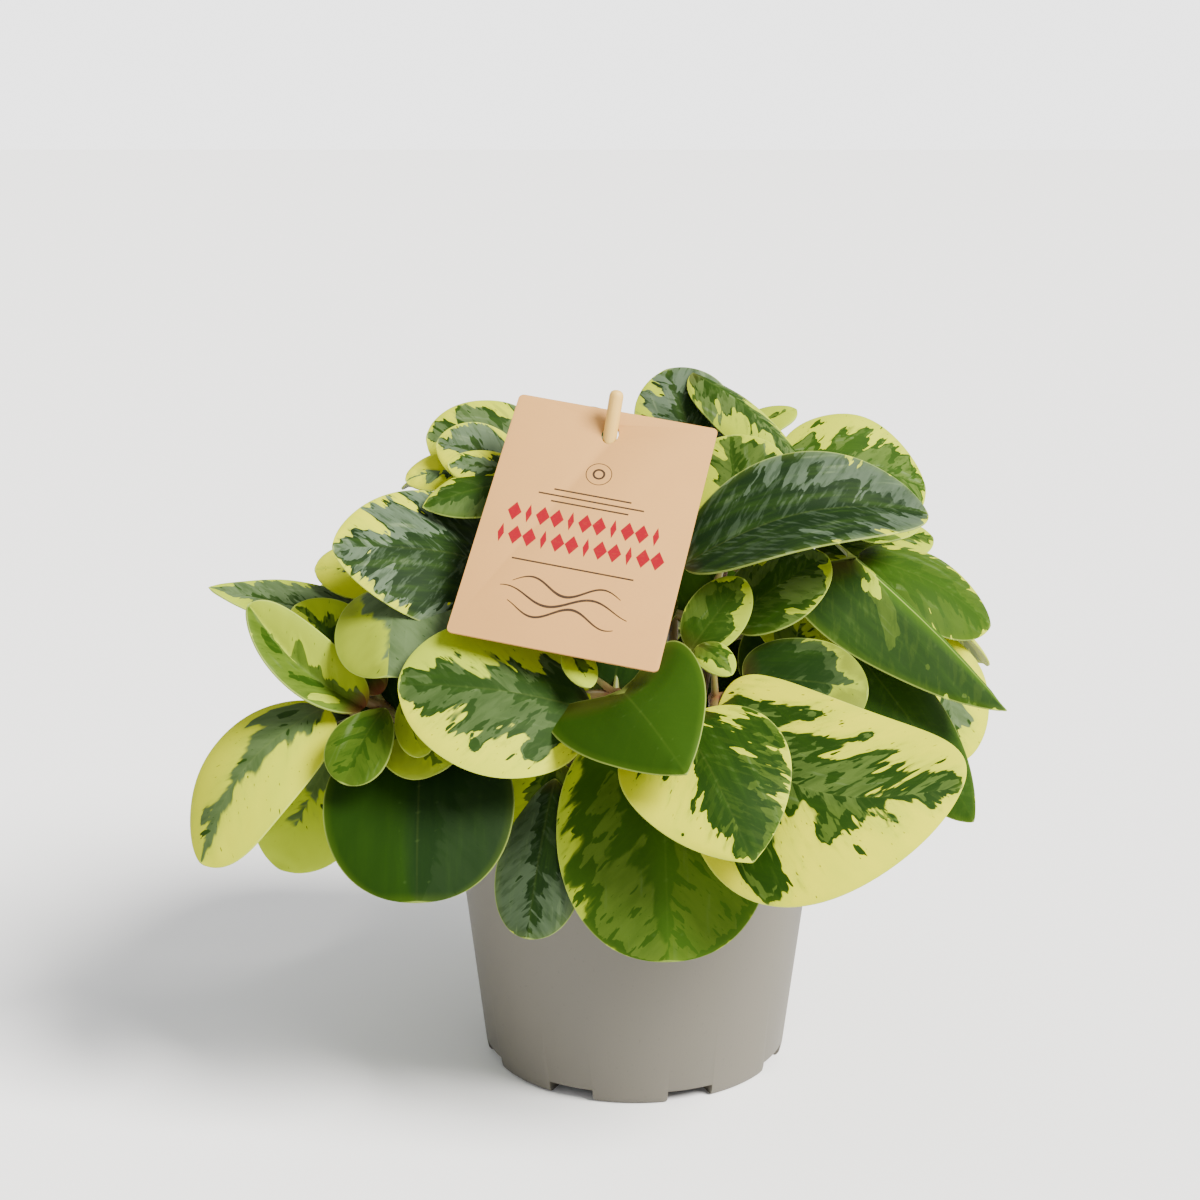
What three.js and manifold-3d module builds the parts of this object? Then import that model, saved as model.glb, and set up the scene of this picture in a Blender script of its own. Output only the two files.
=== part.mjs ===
// Potted variegated peperomia with a paper card on a wooden stick.
// Millimetres, +Z up, front towards -Y, origin at the centre of the pot's base.
import * as THREE from "three";
import { mergeVertices } from "three/addons/utils/BufferGeometryUtils.js";
import Module from "manifold-3d";

const wasm = await Module();
wasm.setup();

// Pot
const POT_HEIGHT = 100;
const RIM_RADIUS = 60;
const RIM_BAND = 8;
const SHOULDER_RADIUS = 57;
const FOOT_RADIUS = 45;
const FOOT_CORNER = 2.5;
const FOOT_FLARE = 1.2;
const WALL = 1.2;
const BASE_THICKNESS = 1.5;
const EDGE_ROUND = 0.6;
const RIM_WALL = 2;
const RIM_DRAFT = 0.4;
const INNER_CORNER_HEIGHT = 5;
const INNER_CORNER_RADIUS = 3;
const POT_SEGMENTS = 36;
const DRAIN_COUNT = 8;
const DRAIN_WIDTH = 14;
const DRAIN_HEIGHT = 3.8;
const DRAIN_DEPTH = 9;
const DRAIN_OVERHANG = 1.5;
const DRAIN_TURN = -69;

// Soil
const SOIL_TOP = 88;
const SOIL_GAP = 0.4;
const SOIL_EDGE = 2;
const HOLE_GAP = 1.2;
const HOLE_SIDES = 10;
const ROOT_DEPTH = 16;

// Leafy stems
const STEM_RADIUS = 2.7;
const STEM_SIDES = 6;
const STEM_STEPS = 6;
const STALK_RADIUS = 1.3;
const FULL_STALK_WIDTH = 26;
const THINNEST_STALK = 0.6;
const STALK_START = 0.97;
const STALK_APPROACH = 0.3;
const STALK_SIDES = 4;
const STALK_STEPS = 2;
const STALK_REACH = 0.03;
const LEAF_THICKNESS = 1.2;
const LARGE_LEAF = 950;
const LARGE_ROWS = 7;
const SMALL_ROWS = 5;
const LEAF_COLUMNS = 4;
const LEAF_CUP = -0.06;

// Card and stick
const CARD_WIDTH = 58;
const CARD_HEIGHT = 81;
const CARD_THICKNESS = 0.6;
const CARD_CORNER = 1.5;
const CARD_HOLE_DROP = 8.5;
const CARD_HOLE_SHIFT = -0.5;
const CARD_HOLE_GAP = 0.4;
const CARD_LEAN = 44;
const CARD_ROLL = 12.3;
const STICK_RADIUS = 2;
const STICK_SIDES = 16;
const STICK_FOOT = [-27, -25, SOIL_TOP - ROOT_DEPTH];
const STICK_TIP = [-5.5, -21, 206];
const CARD_CROSSING = 0.905;

// Colours
const COLOURS = {
  pot: 0x98948a,
  soil: 0x2e231b,
  card: 0xdcb795,
  stick: 0xd9b983,
  leaves: [0x9fb04e, 0x6f9440, 0xb9bf62, 0x4f7d36],
};

const v = (p) => new THREE.Vector3(...p);

// A leaf runs from base to tip. Its upper side looks along face, and width is its widest place.
// bow lifts the middle of the midrib and bend swings it sideways, both as shares of the length.
// fold turns the two halves up (+) or down (-) in degrees, and cup curls the margins.
// shape names the outline, and from says how far up the stem the stalk starts.
function leaf(base, tip, face, width, form = {}) {
  return { base: v(base), tip: v(tip), face: v(face), width, ...form };
}

// Outlines: the powers of s and of 1 - s in the half width, and how far the lobes reach back.
const OUTLINES = {
  oval: { base: 0.52, tip: 0.55, lobe: 0.1 },
  obovate: { base: 0.75, tip: 0.48, lobe: 0 },
  round: { base: 0.42, tip: 0.45, lobe: 0.3 },
  heart: { base: 0.28, tip: 0.88, lobe: 0.7 },
  cordate: { base: 0.24, tip: 0.9, lobe: 0.78 },
  pointed: { base: 0.5, tip: 0.82, lobe: 0.25 },
  ovate: { base: 0.42, tip: 0.66, lobe: 0.2 },
  broad: { base: 0.42, tip: 0.52, lobe: 0.25 },
  long: { base: 0.62, tip: 0.72, lobe: 0 },
};

const STEMS = [
  {
    name: "stem_left",
    root: [-25, -15],
    bends: [[-35, -23, 103], [-54, -37, 112], [-72, -49, 121]],
    leaves: [
      leaf([-86, -53, 122], [-118, -72, 83], [-4, -7, 5], 35, { bow: 0.1, fold: -10, bend: 0.08 }),
      leaf([-82, -44, 111], [-100, -54, 75], [-2, -8, 4], 36, { bow: 0.06, from: 0.9 }),
      leaf([-59, -54, 113], [-58, -85, 77], [0, -8, 5], 52, { bow: 0.1, shape: "round", from: 0.9 }),
      leaf([-68, -62, 124], [-78, -76, 107], [-2, -8, 5], 19, { bow: 0.1, fold: 6, shape: "obovate" }),
      leaf([-64, -58, 125], [-57, -70, 113], [0, -8, 5], 10, { bow: 0.05, shape: "obovate" }),
      leaf([-62, -57, 120], [-52, -70, 109], [0, -8, 5], 25, { bow: 0.08, shape: "round" }),
      leaf([-75, -54, 122], [-106, -54, 151], [4, -7, 5], 23, { bow: -0.08, fold: 32, bend: -0.05 }),
      leaf([-72, -46, 127], [-96, -38, 147], [2, -8, 5], 24, { bow: 0.05 }),
      leaf([-71, -50, 125], [-80, -44, 138], [3, -8, 4], 11, { bow: 0.05 }),
      leaf([-80, -40, 116], [-114, -16, 97], [-4, 1, 9], 38, { bow: 0.15, fold: -8 }),
      leaf([-63, -48, 110], [-71, -43, 130], [0, -8, 3], 21, { bow: 0.04, from: 0.85 }),
    ],
  },
  {
    name: "stem_left_rear",
    root: [-27, 5],
    bends: [[-30, 4, 105], [-41, -2, 130], [-48, -8, 144]],
    leaves: [
      leaf([-80, -19, 141], [-122, -28, 150], [0, -3, 9], 25, { bow: -0.03, fold: 6, shape: "pointed" }),
      leaf([-63, -6, 149], [-94, -12, 152], [-1, -6, 8], 24, { bow: 0.05 }),
      leaf([-36, -20, 153], [-83, -50, 166], [-1, -7, 6], 48, { bow: 0.1, fold: -6, shape: "ovate" }),
      leaf([-66, -40, 153], [-67, -66, 134], [-1, -8, 6], 34, { bow: 0.08, fold: -10, shape: "round" }),
      leaf([-57, 6, 148], [-98, 26, 138], [-3, 2, 9], 40, { bow: 0.14, fold: -8 }),
      leaf([-52, -28, 140], [-92, -26, 131], [-1, -6, 8], 24, { bow: 0.08 }),
      leaf([-52, 0, 133], [-86, 3, 112], [-4, 0, 8], 30, { bow: 0.1, from: 0.8 }),
    ],
  },
  {
    name: "stem_top_left",
    root: [-12, 18],
    bends: [[-14, 18, 120], [-24, 13, 152], [-28, 10, 170]],
    leaves: [
      leaf([-26, 8, 184], [-62, 2, 189], [-1, -8, 5], 29, { bow: 0.08, fold: -6 }),
      leaf([-34, -3, 180], [-58, -8, 189], [-1, -8, 5], 20, { bow: 0.08 }),
      leaf([-44, -2, 181], [-67, -10, 178], [-1, -6, 8], 16, { bow: 0.06 }),
      leaf([-34, -17, 179], [-60, -31, 174], [-1, -7, 7], 19, { bow: 0.06, fold: -14, shape: "pointed" }),
      leaf([-32, -12, 181], [-54, -18, 184], [-1, -7, 6], 13, { bow: 0.05, fold: -10 }),
      leaf([-34, 24, 176], [-72, 40, 168], [-3, 2, 9], 40, { bow: 0.15, fold: -8 }),
      leaf([-22, 30, 184], [-34, 66, 180], [-1, 3, 9], 40, { bow: 0.15 }),
      leaf([-20, 8, 184], [-16, 28, 195], [-2, -7, 6], 24, { bow: 0.06 }),
      leaf([-28, 26, 152], [-52, 41, 145], [-3, 3, 8], 36, { bow: 0.12, from: 0.6 }),
      leaf([-13, 30, 146], [-10, 60, 138], [0, 3, 9], 34, { bow: 0.12, from: 0.55 }),
    ],
  },
  {
    name: "stem_front",
    root: [-5, -30],
    bends: [[-5, -34, 102], [-6, -45, 116], [-5, -54, 127]],
    leaves: [
      leaf([-12, -63, 124], [-63, -74, 134], [0, -7, 7], 48, { bow: 0.08, fold: -6 }),
      leaf([-3, -71, 131], [13, -101, 118], [-3, -5, 8], 44, { bow: 0.1, fold: -6, shape: "cordate" }),
      leaf([-18, -60, 140], [-12, -72, 133], [1, -8, 6], 9, { bow: 0.08 }),
      leaf([-22, -61, 104], [-29, -80, 65], [-2, -9, 3], 25, {
        bow: 0.06, fold: -12, shape: "obovate", from: 0.8,
      }),
      leaf([-22, -57, 108], [-34, -67, 80], [-3, -9, 3], 29, { bow: 0.06, from: 0.8 }),
      leaf([7, -56, 116], [9, -88, 62], [0, -8, 5], 59, { bow: 0.09, fold: -6, shape: "round", from: 0.9 }),
      leaf([-7, -43, 122], [-3, -37, 141], [0, -8, 3], 22, { bow: 0.04, from: 0.85 }),
    ],
  },
  {
    name: "stem_front_right",
    root: [17, -20],
    bends: [[18, -26, 104], [22, -42, 116], [22, -50, 125]],
    leaves: [
      leaf([12, -71, 124], [30, -102, 95], [0, -7, 7], 46, { bow: 0.1, fold: -5, shape: "pointed" }),
      leaf([22, -58, 122], [85, -88, 111], [-1, -7, 7], 64, {
        bow: 0.08, fold: -8, cup: -0.12, bend: 0.23, shape: "broad",
      }),
      leaf([17, -54, 140], [26, -62, 134], [0, -6, 8], 10, { bow: 0.1 }),
      leaf([30, -47, 128], [64, -51, 126], [0, -6, 8], 33, { bow: 0.08, shape: "round" }),
      leaf([15, -50, 138], [30, -42, 156], [-1, -9, 4], 17, { bow: 0.06 }),
    ],
  },
  {
    name: "stem_right",
    root: [33, -3],
    bends: [[36, -5, 105], [50, -12, 128], [58, -15, 142]],
    leaves: [
      leaf([63, -21, 158], [105, -36, 117], [5, -4, 8], 49, { bow: 0.03, fold: -32, shape: "heart" }),
      leaf([66, 0, 154], [105, -4, 134], [3, -5, 8], 34, { bow: 0.1, fold: -10 }),
      leaf([86, 2, 131], [96, -14, 95], [4, -8, 4], 30, { bow: 0.08 }),
      leaf([61, -27, 134], [98, -30, 82], [3, -8, 4], 28, { bow: 0.06, fold: -12, shape: "long" }),
      leaf([44, -26, 130], [52, -16, 151], [0, -8, 5], 27, { bow: 0.06 }),
      leaf([72, 12, 140], [108, 22, 116], [4, 2, 8], 40, { bow: 0.14, fold: -8 }),
      leaf([41, -10, 112], [43, -12, 141], [0, -8, 2], 24, { bow: 0.03, from: 0.5 }),
    ],
  },
  {
    name: "stem_top_right",
    root: [13, 3],
    bends: [[14, 2, 120], [24, -8, 146], [27, -14, 158]],
    leaves: [
      leaf([13, -38, 159], [82, -27, 172], [-1, -6, 8], 39, { bow: 0.15, fold: 18, cup: 0 }),
      leaf([26, -37, 142], [54, -29, 160], [-3, -7, 6], 25, { bow: 0.06 }),
      leaf([30, -18, 166], [27, -6, 191], [-1, -8, 6], 33, { bow: 0.06, shape: "round" }),
      leaf([62, -6, 164], [84, 0, 168], [0, -6, 8], 20, { bow: 0.06 }),
      leaf([34, 4, 134], [62, 16, 120], [3, 2, 8], 34, { bow: 0.12, from: 0.6 }),
      leaf([12, -8, 140], [-10, -6, 142], [-1, -4, 9], 26, { bow: 0.1, from: 0.7 }),
      leaf([27, 2, 158], [36, 22, 161], [1, 1, 9], 24, { bow: 0.1, from: 0.75 }),
      leaf([20, 8, 131], [26, 6, 96], [1, -8, 2], 28, { bow: 0.06, from: 0.5 }),
      leaf([18, 3, 131], [27, 9, 156], [-1, -8, 3], 28, { bow: 0.05, from: 0.6 }),
    ],
  },
  {
    name: "stem_top_rear",
    root: [9, 24],
    bends: [[10, 26, 125], [12, 28, 160], [14, 28, 176]],
    leaves: [
      leaf([19, 24, 180], [9, 31, 206], [0, -8, 5], 31, { bow: 0.08 }),
      leaf([17, 30, 205], [49, 14, 180], [3, -5, 8], 22, { bow: 0.08, fold: -28 }),
      leaf([28, 40, 182], [50, 44, 192], [0, -3, 9], 18, { bow: 0.06 }),
      leaf([42, 14, 177], [88, 22, 171], [-1, -7, 7], 44, { bow: 0.12 }),
      leaf([55, 24, 152], [92, 30, 154], [0, -4, 9], 28, { bow: 0.08 }),
      leaf([18, 44, 176], [22, 82, 164], [1, 4, 9], 44, { bow: 0.14, fold: -8 }),
      leaf([36, 36, 176], [72, 58, 166], [3, 3, 9], 42, { bow: 0.14, fold: -8 }),
      leaf([6, 46, 149], [2, 88, 134], [0, 4, 8], 38, { bow: 0.14, from: 0.6 }),
      leaf([26, 32, 150], [60, 36, 140], [3, 1, 9], 36, { bow: 0.12, from: 0.62 }),
      leaf([0, 16, 152], [-12, -4, 156], [-1, -3, 9], 28, { bow: 0.1, from: 0.7 }),
    ],
  },
  {
    name: "stem_rear_left",
    root: [-18, 36],
    bends: [[-20, 39, 104], [-30, 50, 120], [-37, 58, 132]],
    leaves: [
      leaf([-42, 66, 136], [-68, 92, 112], [-3, 6, 7], 46, { bow: 0.14, fold: -8 }),
      leaf([-50, 52, 136], [-94, 60, 124], [-4, 3, 8], 42, { bow: 0.14, fold: -8 }),
      leaf([-32, 70, 134], [-24, 100, 102], [0, 7, 6], 48, { bow: 0.12, shape: "round" }),
      leaf([-30, 64, 146], [-18, 84, 164], [-1, -3, 9], 26, { bow: 0.06 }),
      leaf([-54, 40, 124], [-94, 34, 96], [-6, 1, 7], 40, { bow: 0.12 }),
    ],
  },
  {
    name: "stem_rear_right",
    root: [22, 36],
    bends: [[25, 40, 104], [36, 50, 120], [43, 56, 132]],
    leaves: [
      leaf([48, 64, 136], [70, 90, 108], [3, 6, 7], 46, { bow: 0.14, fold: -8 }),
      leaf([56, 56, 134], [98, 66, 116], [4, 3, 8], 42, { bow: 0.14, fold: -8 }),
      leaf([36, 70, 132], [24, 100, 100], [0, 7, 6], 48, { bow: 0.12, shape: "round" }),
      leaf([56, 38, 122], [94, 28, 94], [6, 1, 7], 40, { bow: 0.12 }),
      leaf([44, 56, 146], [56, 76, 154], [1, 1, 9], 26, { bow: 0.06 }),
      leaf([10, 54, 124], [0, 82, 100], [0, 7, 6], 40, { bow: 0.1, from: 0.7 }),
    ],
  },
];

// Half width of a leaf at s, from 0 at the base to 1 at the tip.
function halfWidth(blade, s) {
  const { base, tip } = OUTLINES[blade.shape ?? "oval"];
  const peak = base / (base + tip);
  const top = peak ** base * (1 - peak) ** tip;
  return (blade.width / 2) * (s ** base * (1 - s) ** tip) / top;
}

// The leaf's own directions: along it, out of its upper side, and to its right.
function bladeAxes(blade) {
  const along = blade.tip.clone().sub(blade.base).normalize();
  const up = blade.face.clone().addScaledVector(along, -blade.face.dot(along)).normalize();
  return { along, up, right: along.clone().cross(up) };
}

// A point on the middle surface: s runs from base to tip and c from -1 to 1 across.
function bladePoint(blade, s, c) {
  const { along, up, right } = bladeAxes(blade);
  const length = blade.tip.distanceTo(blade.base);
  const half = halfWidth(blade, s);
  const fold = THREE.MathUtils.degToRad(blade.fold ?? 0);
  const cup = blade.cup ?? LEAF_CUP;
  const reach = OUTLINES[blade.shape ?? "oval"].lobe * half * c * c * (1 - s) ** 2;
  const swell = Math.sin(Math.PI * s);
  return blade.base.clone()
    .addScaledVector(along, length * s - reach)
    .addScaledVector(up, (blade.bow ?? 0) * length * swell)
    .addScaledVector(right, (blade.bend ?? 0) * length * swell)
    .addScaledVector(right, half * c * Math.cos(fold))
    .addScaledVector(up, half * Math.abs(c) * Math.sin(fold) + cup * half * c * c);
}

// A leaf blade: the same grid of triangles on both faces, closed by a wall along the margin.
function bladeGeometry(blade) {
  const area = blade.width * blade.tip.distanceTo(blade.base);
  const rows = area > LARGE_LEAF ? LARGE_ROWS : SMALL_ROWS;
  const { up } = bladeAxes(blade);
  const points = [];
  const faces = [];
  const addPoint = (s, c) => {
    const middle = bladePoint(blade, s, c);
    points.push(middle.clone().addScaledVector(up, LEAF_THICKNESS / 2));
    points.push(middle.addScaledVector(up, -LEAF_THICKNESS / 2));
    return points.length - 2;
  };
  const addFace = (a, b, c) => faces.push([a, b, c], [c + 1, b + 1, a + 1]);
  const addWall = (a, b) => faces.push([a + 1, b + 1, b], [a + 1, b, a]);
  const grid = [[addPoint(0, 0)]];
  for (let row = 1; row < rows; row += 1) {
    const s = (1 - Math.cos((Math.PI * row) / rows)) / 2;
    grid.push(Array.from({ length: LEAF_COLUMNS + 1 }, (_, k) => addPoint(s, (2 * k) / LEAF_COLUMNS - 1)));
  }
  grid.push([addPoint(1, 0)]);
  for (let row = 0; row < rows; row += 1) {
    const near = grid[row];
    const far = grid[row + 1];
    const first = (list) => list[0];
    const last = (list) => list[list.length - 1];
    for (let k = 0; k < LEAF_COLUMNS; k += 1) {
      if (near.length > 1) addFace(near[k], near[k + 1], far[Math.min(k, far.length - 1)]);
      if (far.length > 1) addFace(near[Math.min(k + 1, near.length - 1)], far[k + 1], far[k]);
    }
    addWall(first(far), first(near));
    addWall(last(near), last(far));
  }
  return meshOf(points, faces);
}

// A round bar along a curve, closed at both ends.
function tubeGeometry(curve, radius, sides, steps) {
  const circle = new THREE.Shape();
  circle.absarc(0, 0, radius, 0, 2 * Math.PI);
  const section = new THREE.Shape(circle.getSpacedPoints(sides).slice(0, sides));
  return new THREE.ExtrudeGeometry(section, { steps, extrudePath: curve, bevelEnabled: false });
}

function meshOf(points, faces) {
  const geometry = new THREE.BufferGeometry();
  const positions = points.flatMap((point) => [point.x, point.y, point.z]);
  geometry.setAttribute("position", new THREE.Float32BufferAttribute(positions, 3));
  geometry.setIndex(faces.flat());
  return geometry;
}

// Joins and cuts work on closed solids made from plain geometries.
function solid(geometry) {
  const plain = geometry.clone();
  plain.deleteAttribute("normal");
  plain.deleteAttribute("uv");
  const merged = mergeVertices(plain, 1e-4);
  const vertProperties = new Float32Array(merged.attributes.position.array);
  const triVerts = new Uint32Array(merged.index.array);
  return new wasm.Manifold(new wasm.Mesh({ numProp: 3, vertProperties, triVerts }));
}

function geometryOf(body) {
  const mesh = body.getMesh();
  const geometry = new THREE.BufferGeometry();
  geometry.setAttribute("position", new THREE.BufferAttribute(new Float32Array(mesh.vertProperties), 3));
  geometry.setIndex(new THREE.BufferAttribute(new Uint32Array(mesh.triVerts), 1));
  geometry.computeVertexNormals();
  return geometry;
}

function stemCurve(stem) {
  const [x, y] = stem.root;
  const points = [[x, y, SOIL_TOP - ROOT_DEPTH], [x, y, SOIL_TOP - ROOT_DEPTH / 2], [x, y, SOIL_TOP + 3]];
  return new THREE.CatmullRomCurve3([...points, ...stem.bends].map(v), false, "centripetal");
}

// The stalk leaves the stem, comes in along the leaf and ends inside the blade's base.
function stalkCurve(stem, blade) {
  const start = stemCurve(stem).getPointAt(blade.from ?? STALK_START);
  const along = blade.tip.clone().sub(blade.base).normalize();
  const span = start.distanceTo(blade.base);
  const aim = blade.base.clone().addScaledVector(along, -STALK_APPROACH * span);
  const middle = start.clone().lerp(aim, 0.6);
  const end = bladePoint(blade, STALK_REACH, 0);
  return new THREE.CatmullRomCurve3([start, middle, end], false, "centripetal");
}

function stalkRadius(blade) {
  return STALK_RADIUS * THREE.MathUtils.clamp(blade.width / FULL_STALK_WIDTH, THINNEST_STALK, 1);
}

function leafyStem(stem) {
  let body = solid(tubeGeometry(stemCurve(stem), STEM_RADIUS, STEM_SIDES, STEM_STEPS));
  for (const blade of stem.leaves) {
    const stalk = tubeGeometry(stalkCurve(stem, blade), stalkRadius(blade), STALK_SIDES, STALK_STEPS);
    body = body.add(solid(stalk)).add(solid(bladeGeometry(blade)));
  }
  return geometryOf(body);
}

// Outer radius of the plain wall at height z.
function wallRadius(z) {
  const shoulder = POT_HEIGHT - RIM_BAND;
  return THREE.MathUtils.mapLinear(z, FOOT_CORNER, shoulder, FOOT_RADIUS + FOOT_FLARE, SHOULDER_RADIUS);
}

function lathe(profile) {
  const points = profile.map(([radius, z]) => new THREE.Vector2(radius, z));
  return new THREE.LatheGeometry(points, POT_SEGMENTS).rotateX(Math.PI / 2);
}

function potGeometry() {
  const shoulder = POT_HEIGHT - RIM_BAND;
  const profile = [
    [0, 0],
    [FOOT_RADIUS - FOOT_CORNER / 2, 0],
    [FOOT_RADIUS + EDGE_ROUND, FOOT_CORNER / 3],
    [wallRadius(FOOT_CORNER), FOOT_CORNER],
    [SHOULDER_RADIUS, shoulder],
    [RIM_RADIUS - RIM_DRAFT, shoulder + EDGE_ROUND],
    [RIM_RADIUS, POT_HEIGHT - EDGE_ROUND],
    [RIM_RADIUS - EDGE_ROUND, POT_HEIGHT],
    [RIM_RADIUS - RIM_WALL, POT_HEIGHT],
    [RIM_RADIUS - RIM_WALL - RIM_DRAFT, shoulder + 3 * EDGE_ROUND],
    [SHOULDER_RADIUS - WALL, shoulder - EDGE_ROUND],
    [wallRadius(INNER_CORNER_HEIGHT) - WALL, INNER_CORNER_HEIGHT],
    [wallRadius(INNER_CORNER_HEIGHT) - WALL - INNER_CORNER_RADIUS, BASE_THICKNESS],
    [0, BASE_THICKNESS],
  ];
  let body = solid(lathe(profile));
  for (let k = 0; k < DRAIN_COUNT; k += 1) {
    const drain = new THREE.BoxGeometry(DRAIN_WIDTH, DRAIN_DEPTH, DRAIN_HEIGHT * 2);
    drain.translate(0, -(wallRadius(0) - DRAIN_DEPTH / 2 + DRAIN_OVERHANG), 0);
    drain.rotateZ(THREE.MathUtils.degToRad(DRAIN_TURN + (360 * k) / DRAIN_COUNT));
    body = body.subtract(solid(drain));
  }
  return geometryOf(body);
}

function soilGeometry() {
  const low = BASE_THICKNESS + SOIL_GAP;
  const inner = (z) => wallRadius(z) - WALL - SOIL_GAP;
  const profile = [
    [0, low],
    [inner(INNER_CORNER_HEIGHT) - INNER_CORNER_RADIUS, low],
    [inner(INNER_CORNER_HEIGHT), INNER_CORNER_HEIGHT + SOIL_GAP],
    [inner(SOIL_TOP - SOIL_EDGE), SOIL_TOP - SOIL_EDGE],
    [inner(SOIL_TOP) - SOIL_EDGE, SOIL_TOP - SOIL_EDGE / 4],
    [0, SOIL_TOP],
  ];
  let body = solid(lathe(profile));
  const depth = ROOT_DEPTH + SOIL_GAP;
  for (const stem of STEMS) {
    const radius = STEM_RADIUS + HOLE_GAP;
    const hole = new THREE.CylinderGeometry(radius, radius, 2 * depth, HOLE_SIDES);
    hole.rotateX(Math.PI / 2).translate(...stem.root, SOIL_TOP);
    body = body.subtract(solid(hole));
  }
  const foot = v(STICK_FOOT);
  const lean = v(STICK_TIP).sub(foot).normalize();
  const socket = new THREE.LineCurve3(foot.clone().addScaledVector(lean, -SOIL_GAP), v(STICK_TIP));
  return geometryOf(body.subtract(solid(tubeGeometry(socket, STICK_RADIUS + HOLE_GAP, HOLE_SIDES, 1))));
}

// Where the stick goes through the card, and how the card is turned there.
function cardFrame() {
  const lean = THREE.MathUtils.degToRad(CARD_LEAN);
  const tilt = new THREE.Matrix4().makeRotationX(Math.PI / 2 - lean);
  const roll = new THREE.Matrix4().makeRotationZ(THREE.MathUtils.degToRad(-CARD_ROLL));
  const place = v(STICK_FOOT).lerp(v(STICK_TIP), CARD_CROSSING);
  return new THREE.Matrix4().setPosition(place).multiply(tilt).multiply(roll);
}

// The card lies in its own XY plane, with the middle of its hole at the origin.
function cardGeometry() {
  const left = -CARD_WIDTH / 2 - CARD_HOLE_SHIFT;
  const right = left + CARD_WIDTH;
  const top = CARD_HOLE_DROP;
  const bottom = top - CARD_HEIGHT;
  const outline = new THREE.Shape();
  outline.moveTo(left + CARD_CORNER, bottom);
  outline.absarc(right - CARD_CORNER, bottom + CARD_CORNER, CARD_CORNER, -Math.PI / 2, 0);
  outline.absarc(right - CARD_CORNER, top - CARD_CORNER, CARD_CORNER, 0, Math.PI / 2);
  outline.absarc(left + CARD_CORNER, top - CARD_CORNER, CARD_CORNER, Math.PI / 2, Math.PI);
  outline.absarc(left + CARD_CORNER, bottom + CARD_CORNER, CARD_CORNER, Math.PI, 1.5 * Math.PI);
  const plate = new THREE.ExtrudeGeometry(outline, {
    depth: CARD_THICKNESS, bevelEnabled: false, curveSegments: 4,
  });
  plate.translate(0, 0, -CARD_THICKNESS / 2).applyMatrix4(cardFrame());
  const stick = new THREE.LineCurve3(v(STICK_FOOT), v(STICK_TIP));
  const hole = tubeGeometry(stick, STICK_RADIUS + CARD_HOLE_GAP, STICK_SIDES, 1);
  return geometryOf(solid(plate).subtract(solid(hole)));
}

// A round stick with a rounded top, standing on its foot at the origin before it is leaned.
function stickGeometry() {
  const foot = v(STICK_FOOT);
  const length = foot.distanceTo(v(STICK_TIP));
  const profile = [new THREE.Vector2(0, 0), new THREE.Vector2(STICK_RADIUS, 0)];
  for (const angle of [0, Math.PI / 6, Math.PI / 3]) {
    const y = length - STICK_RADIUS * (1 - Math.sin(angle));
    profile.push(new THREE.Vector2(STICK_RADIUS * Math.cos(angle), y));
  }
  profile.push(new THREE.Vector2(0, length));
  const stick = new THREE.LatheGeometry(profile, STICK_SIDES);
  const lean = v(STICK_TIP).sub(foot).normalize();
  stick.applyQuaternion(new THREE.Quaternion().setFromUnitVectors(new THREE.Vector3(0, 1, 0), lean));
  return stick.translate(...STICK_FOOT);
}

function piece(name, geometry, colour, roughness) {
  const material = new THREE.MeshStandardMaterial({ color: colour, roughness, metalness: 0 });
  const mesh = new THREE.Mesh(geometry, material);
  mesh.name = name;
  return mesh;
}

const plant = new THREE.Group();
plant.add(piece("pot", potGeometry(), COLOURS.pot, 0.6));
plant.add(piece("soil", soilGeometry(), COLOURS.soil, 1));
STEMS.forEach((stem, k) => {
  plant.add(piece(stem.name, leafyStem(stem), COLOURS.leaves[k % COLOURS.leaves.length], 0.35));
});
plant.add(piece("stick", stickGeometry(), COLOURS.stick, 0.7));
plant.add(piece("card", cardGeometry(), COLOURS.card, 0.8));

export default plant;
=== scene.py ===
import math
import random
from contextlib import contextmanager

import bpy
import numpy as np
from mathutils import Matrix, Vector, noise


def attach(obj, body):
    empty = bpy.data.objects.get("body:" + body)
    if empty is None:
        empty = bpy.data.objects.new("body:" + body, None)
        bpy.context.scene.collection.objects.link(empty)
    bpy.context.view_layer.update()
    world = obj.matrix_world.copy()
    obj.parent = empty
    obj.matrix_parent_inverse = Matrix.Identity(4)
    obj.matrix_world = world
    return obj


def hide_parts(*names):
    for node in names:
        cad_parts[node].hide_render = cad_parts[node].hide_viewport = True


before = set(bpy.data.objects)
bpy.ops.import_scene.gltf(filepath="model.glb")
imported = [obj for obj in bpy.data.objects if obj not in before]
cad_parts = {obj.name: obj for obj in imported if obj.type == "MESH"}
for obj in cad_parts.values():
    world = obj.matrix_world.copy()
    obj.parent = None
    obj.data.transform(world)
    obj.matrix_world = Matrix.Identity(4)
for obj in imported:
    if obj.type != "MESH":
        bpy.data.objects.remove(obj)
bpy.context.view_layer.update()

MM = 0.001

# Pot
POT_HEIGHT = 100
RIM_RADIUS = 60
RIM_BAND = 8
SHOULDER = POT_HEIGHT - RIM_BAND
SHOULDER_RADIUS = 57
FOOT_RADIUS = 45
FOOT_CORNER = 2.5
FOOT_FLARE = 1.2
WALL = 1.2
BASE_THICKNESS = 1.5
POT_SIDES = 144
DRAIN_COUNT = 8
DRAIN_SIZE = (14, 9, 3.8)
DRAIN_OVERHANG = 1.5
DRAIN_TURN = -69

# Soil
SOIL_TOP = 88
SOIL_BASE = 1.9
SOIL_GAP = 0.4
SOIL_GRID = 110
CRUMB_COUNT = 420
CRUMB_SEED = 5

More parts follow.
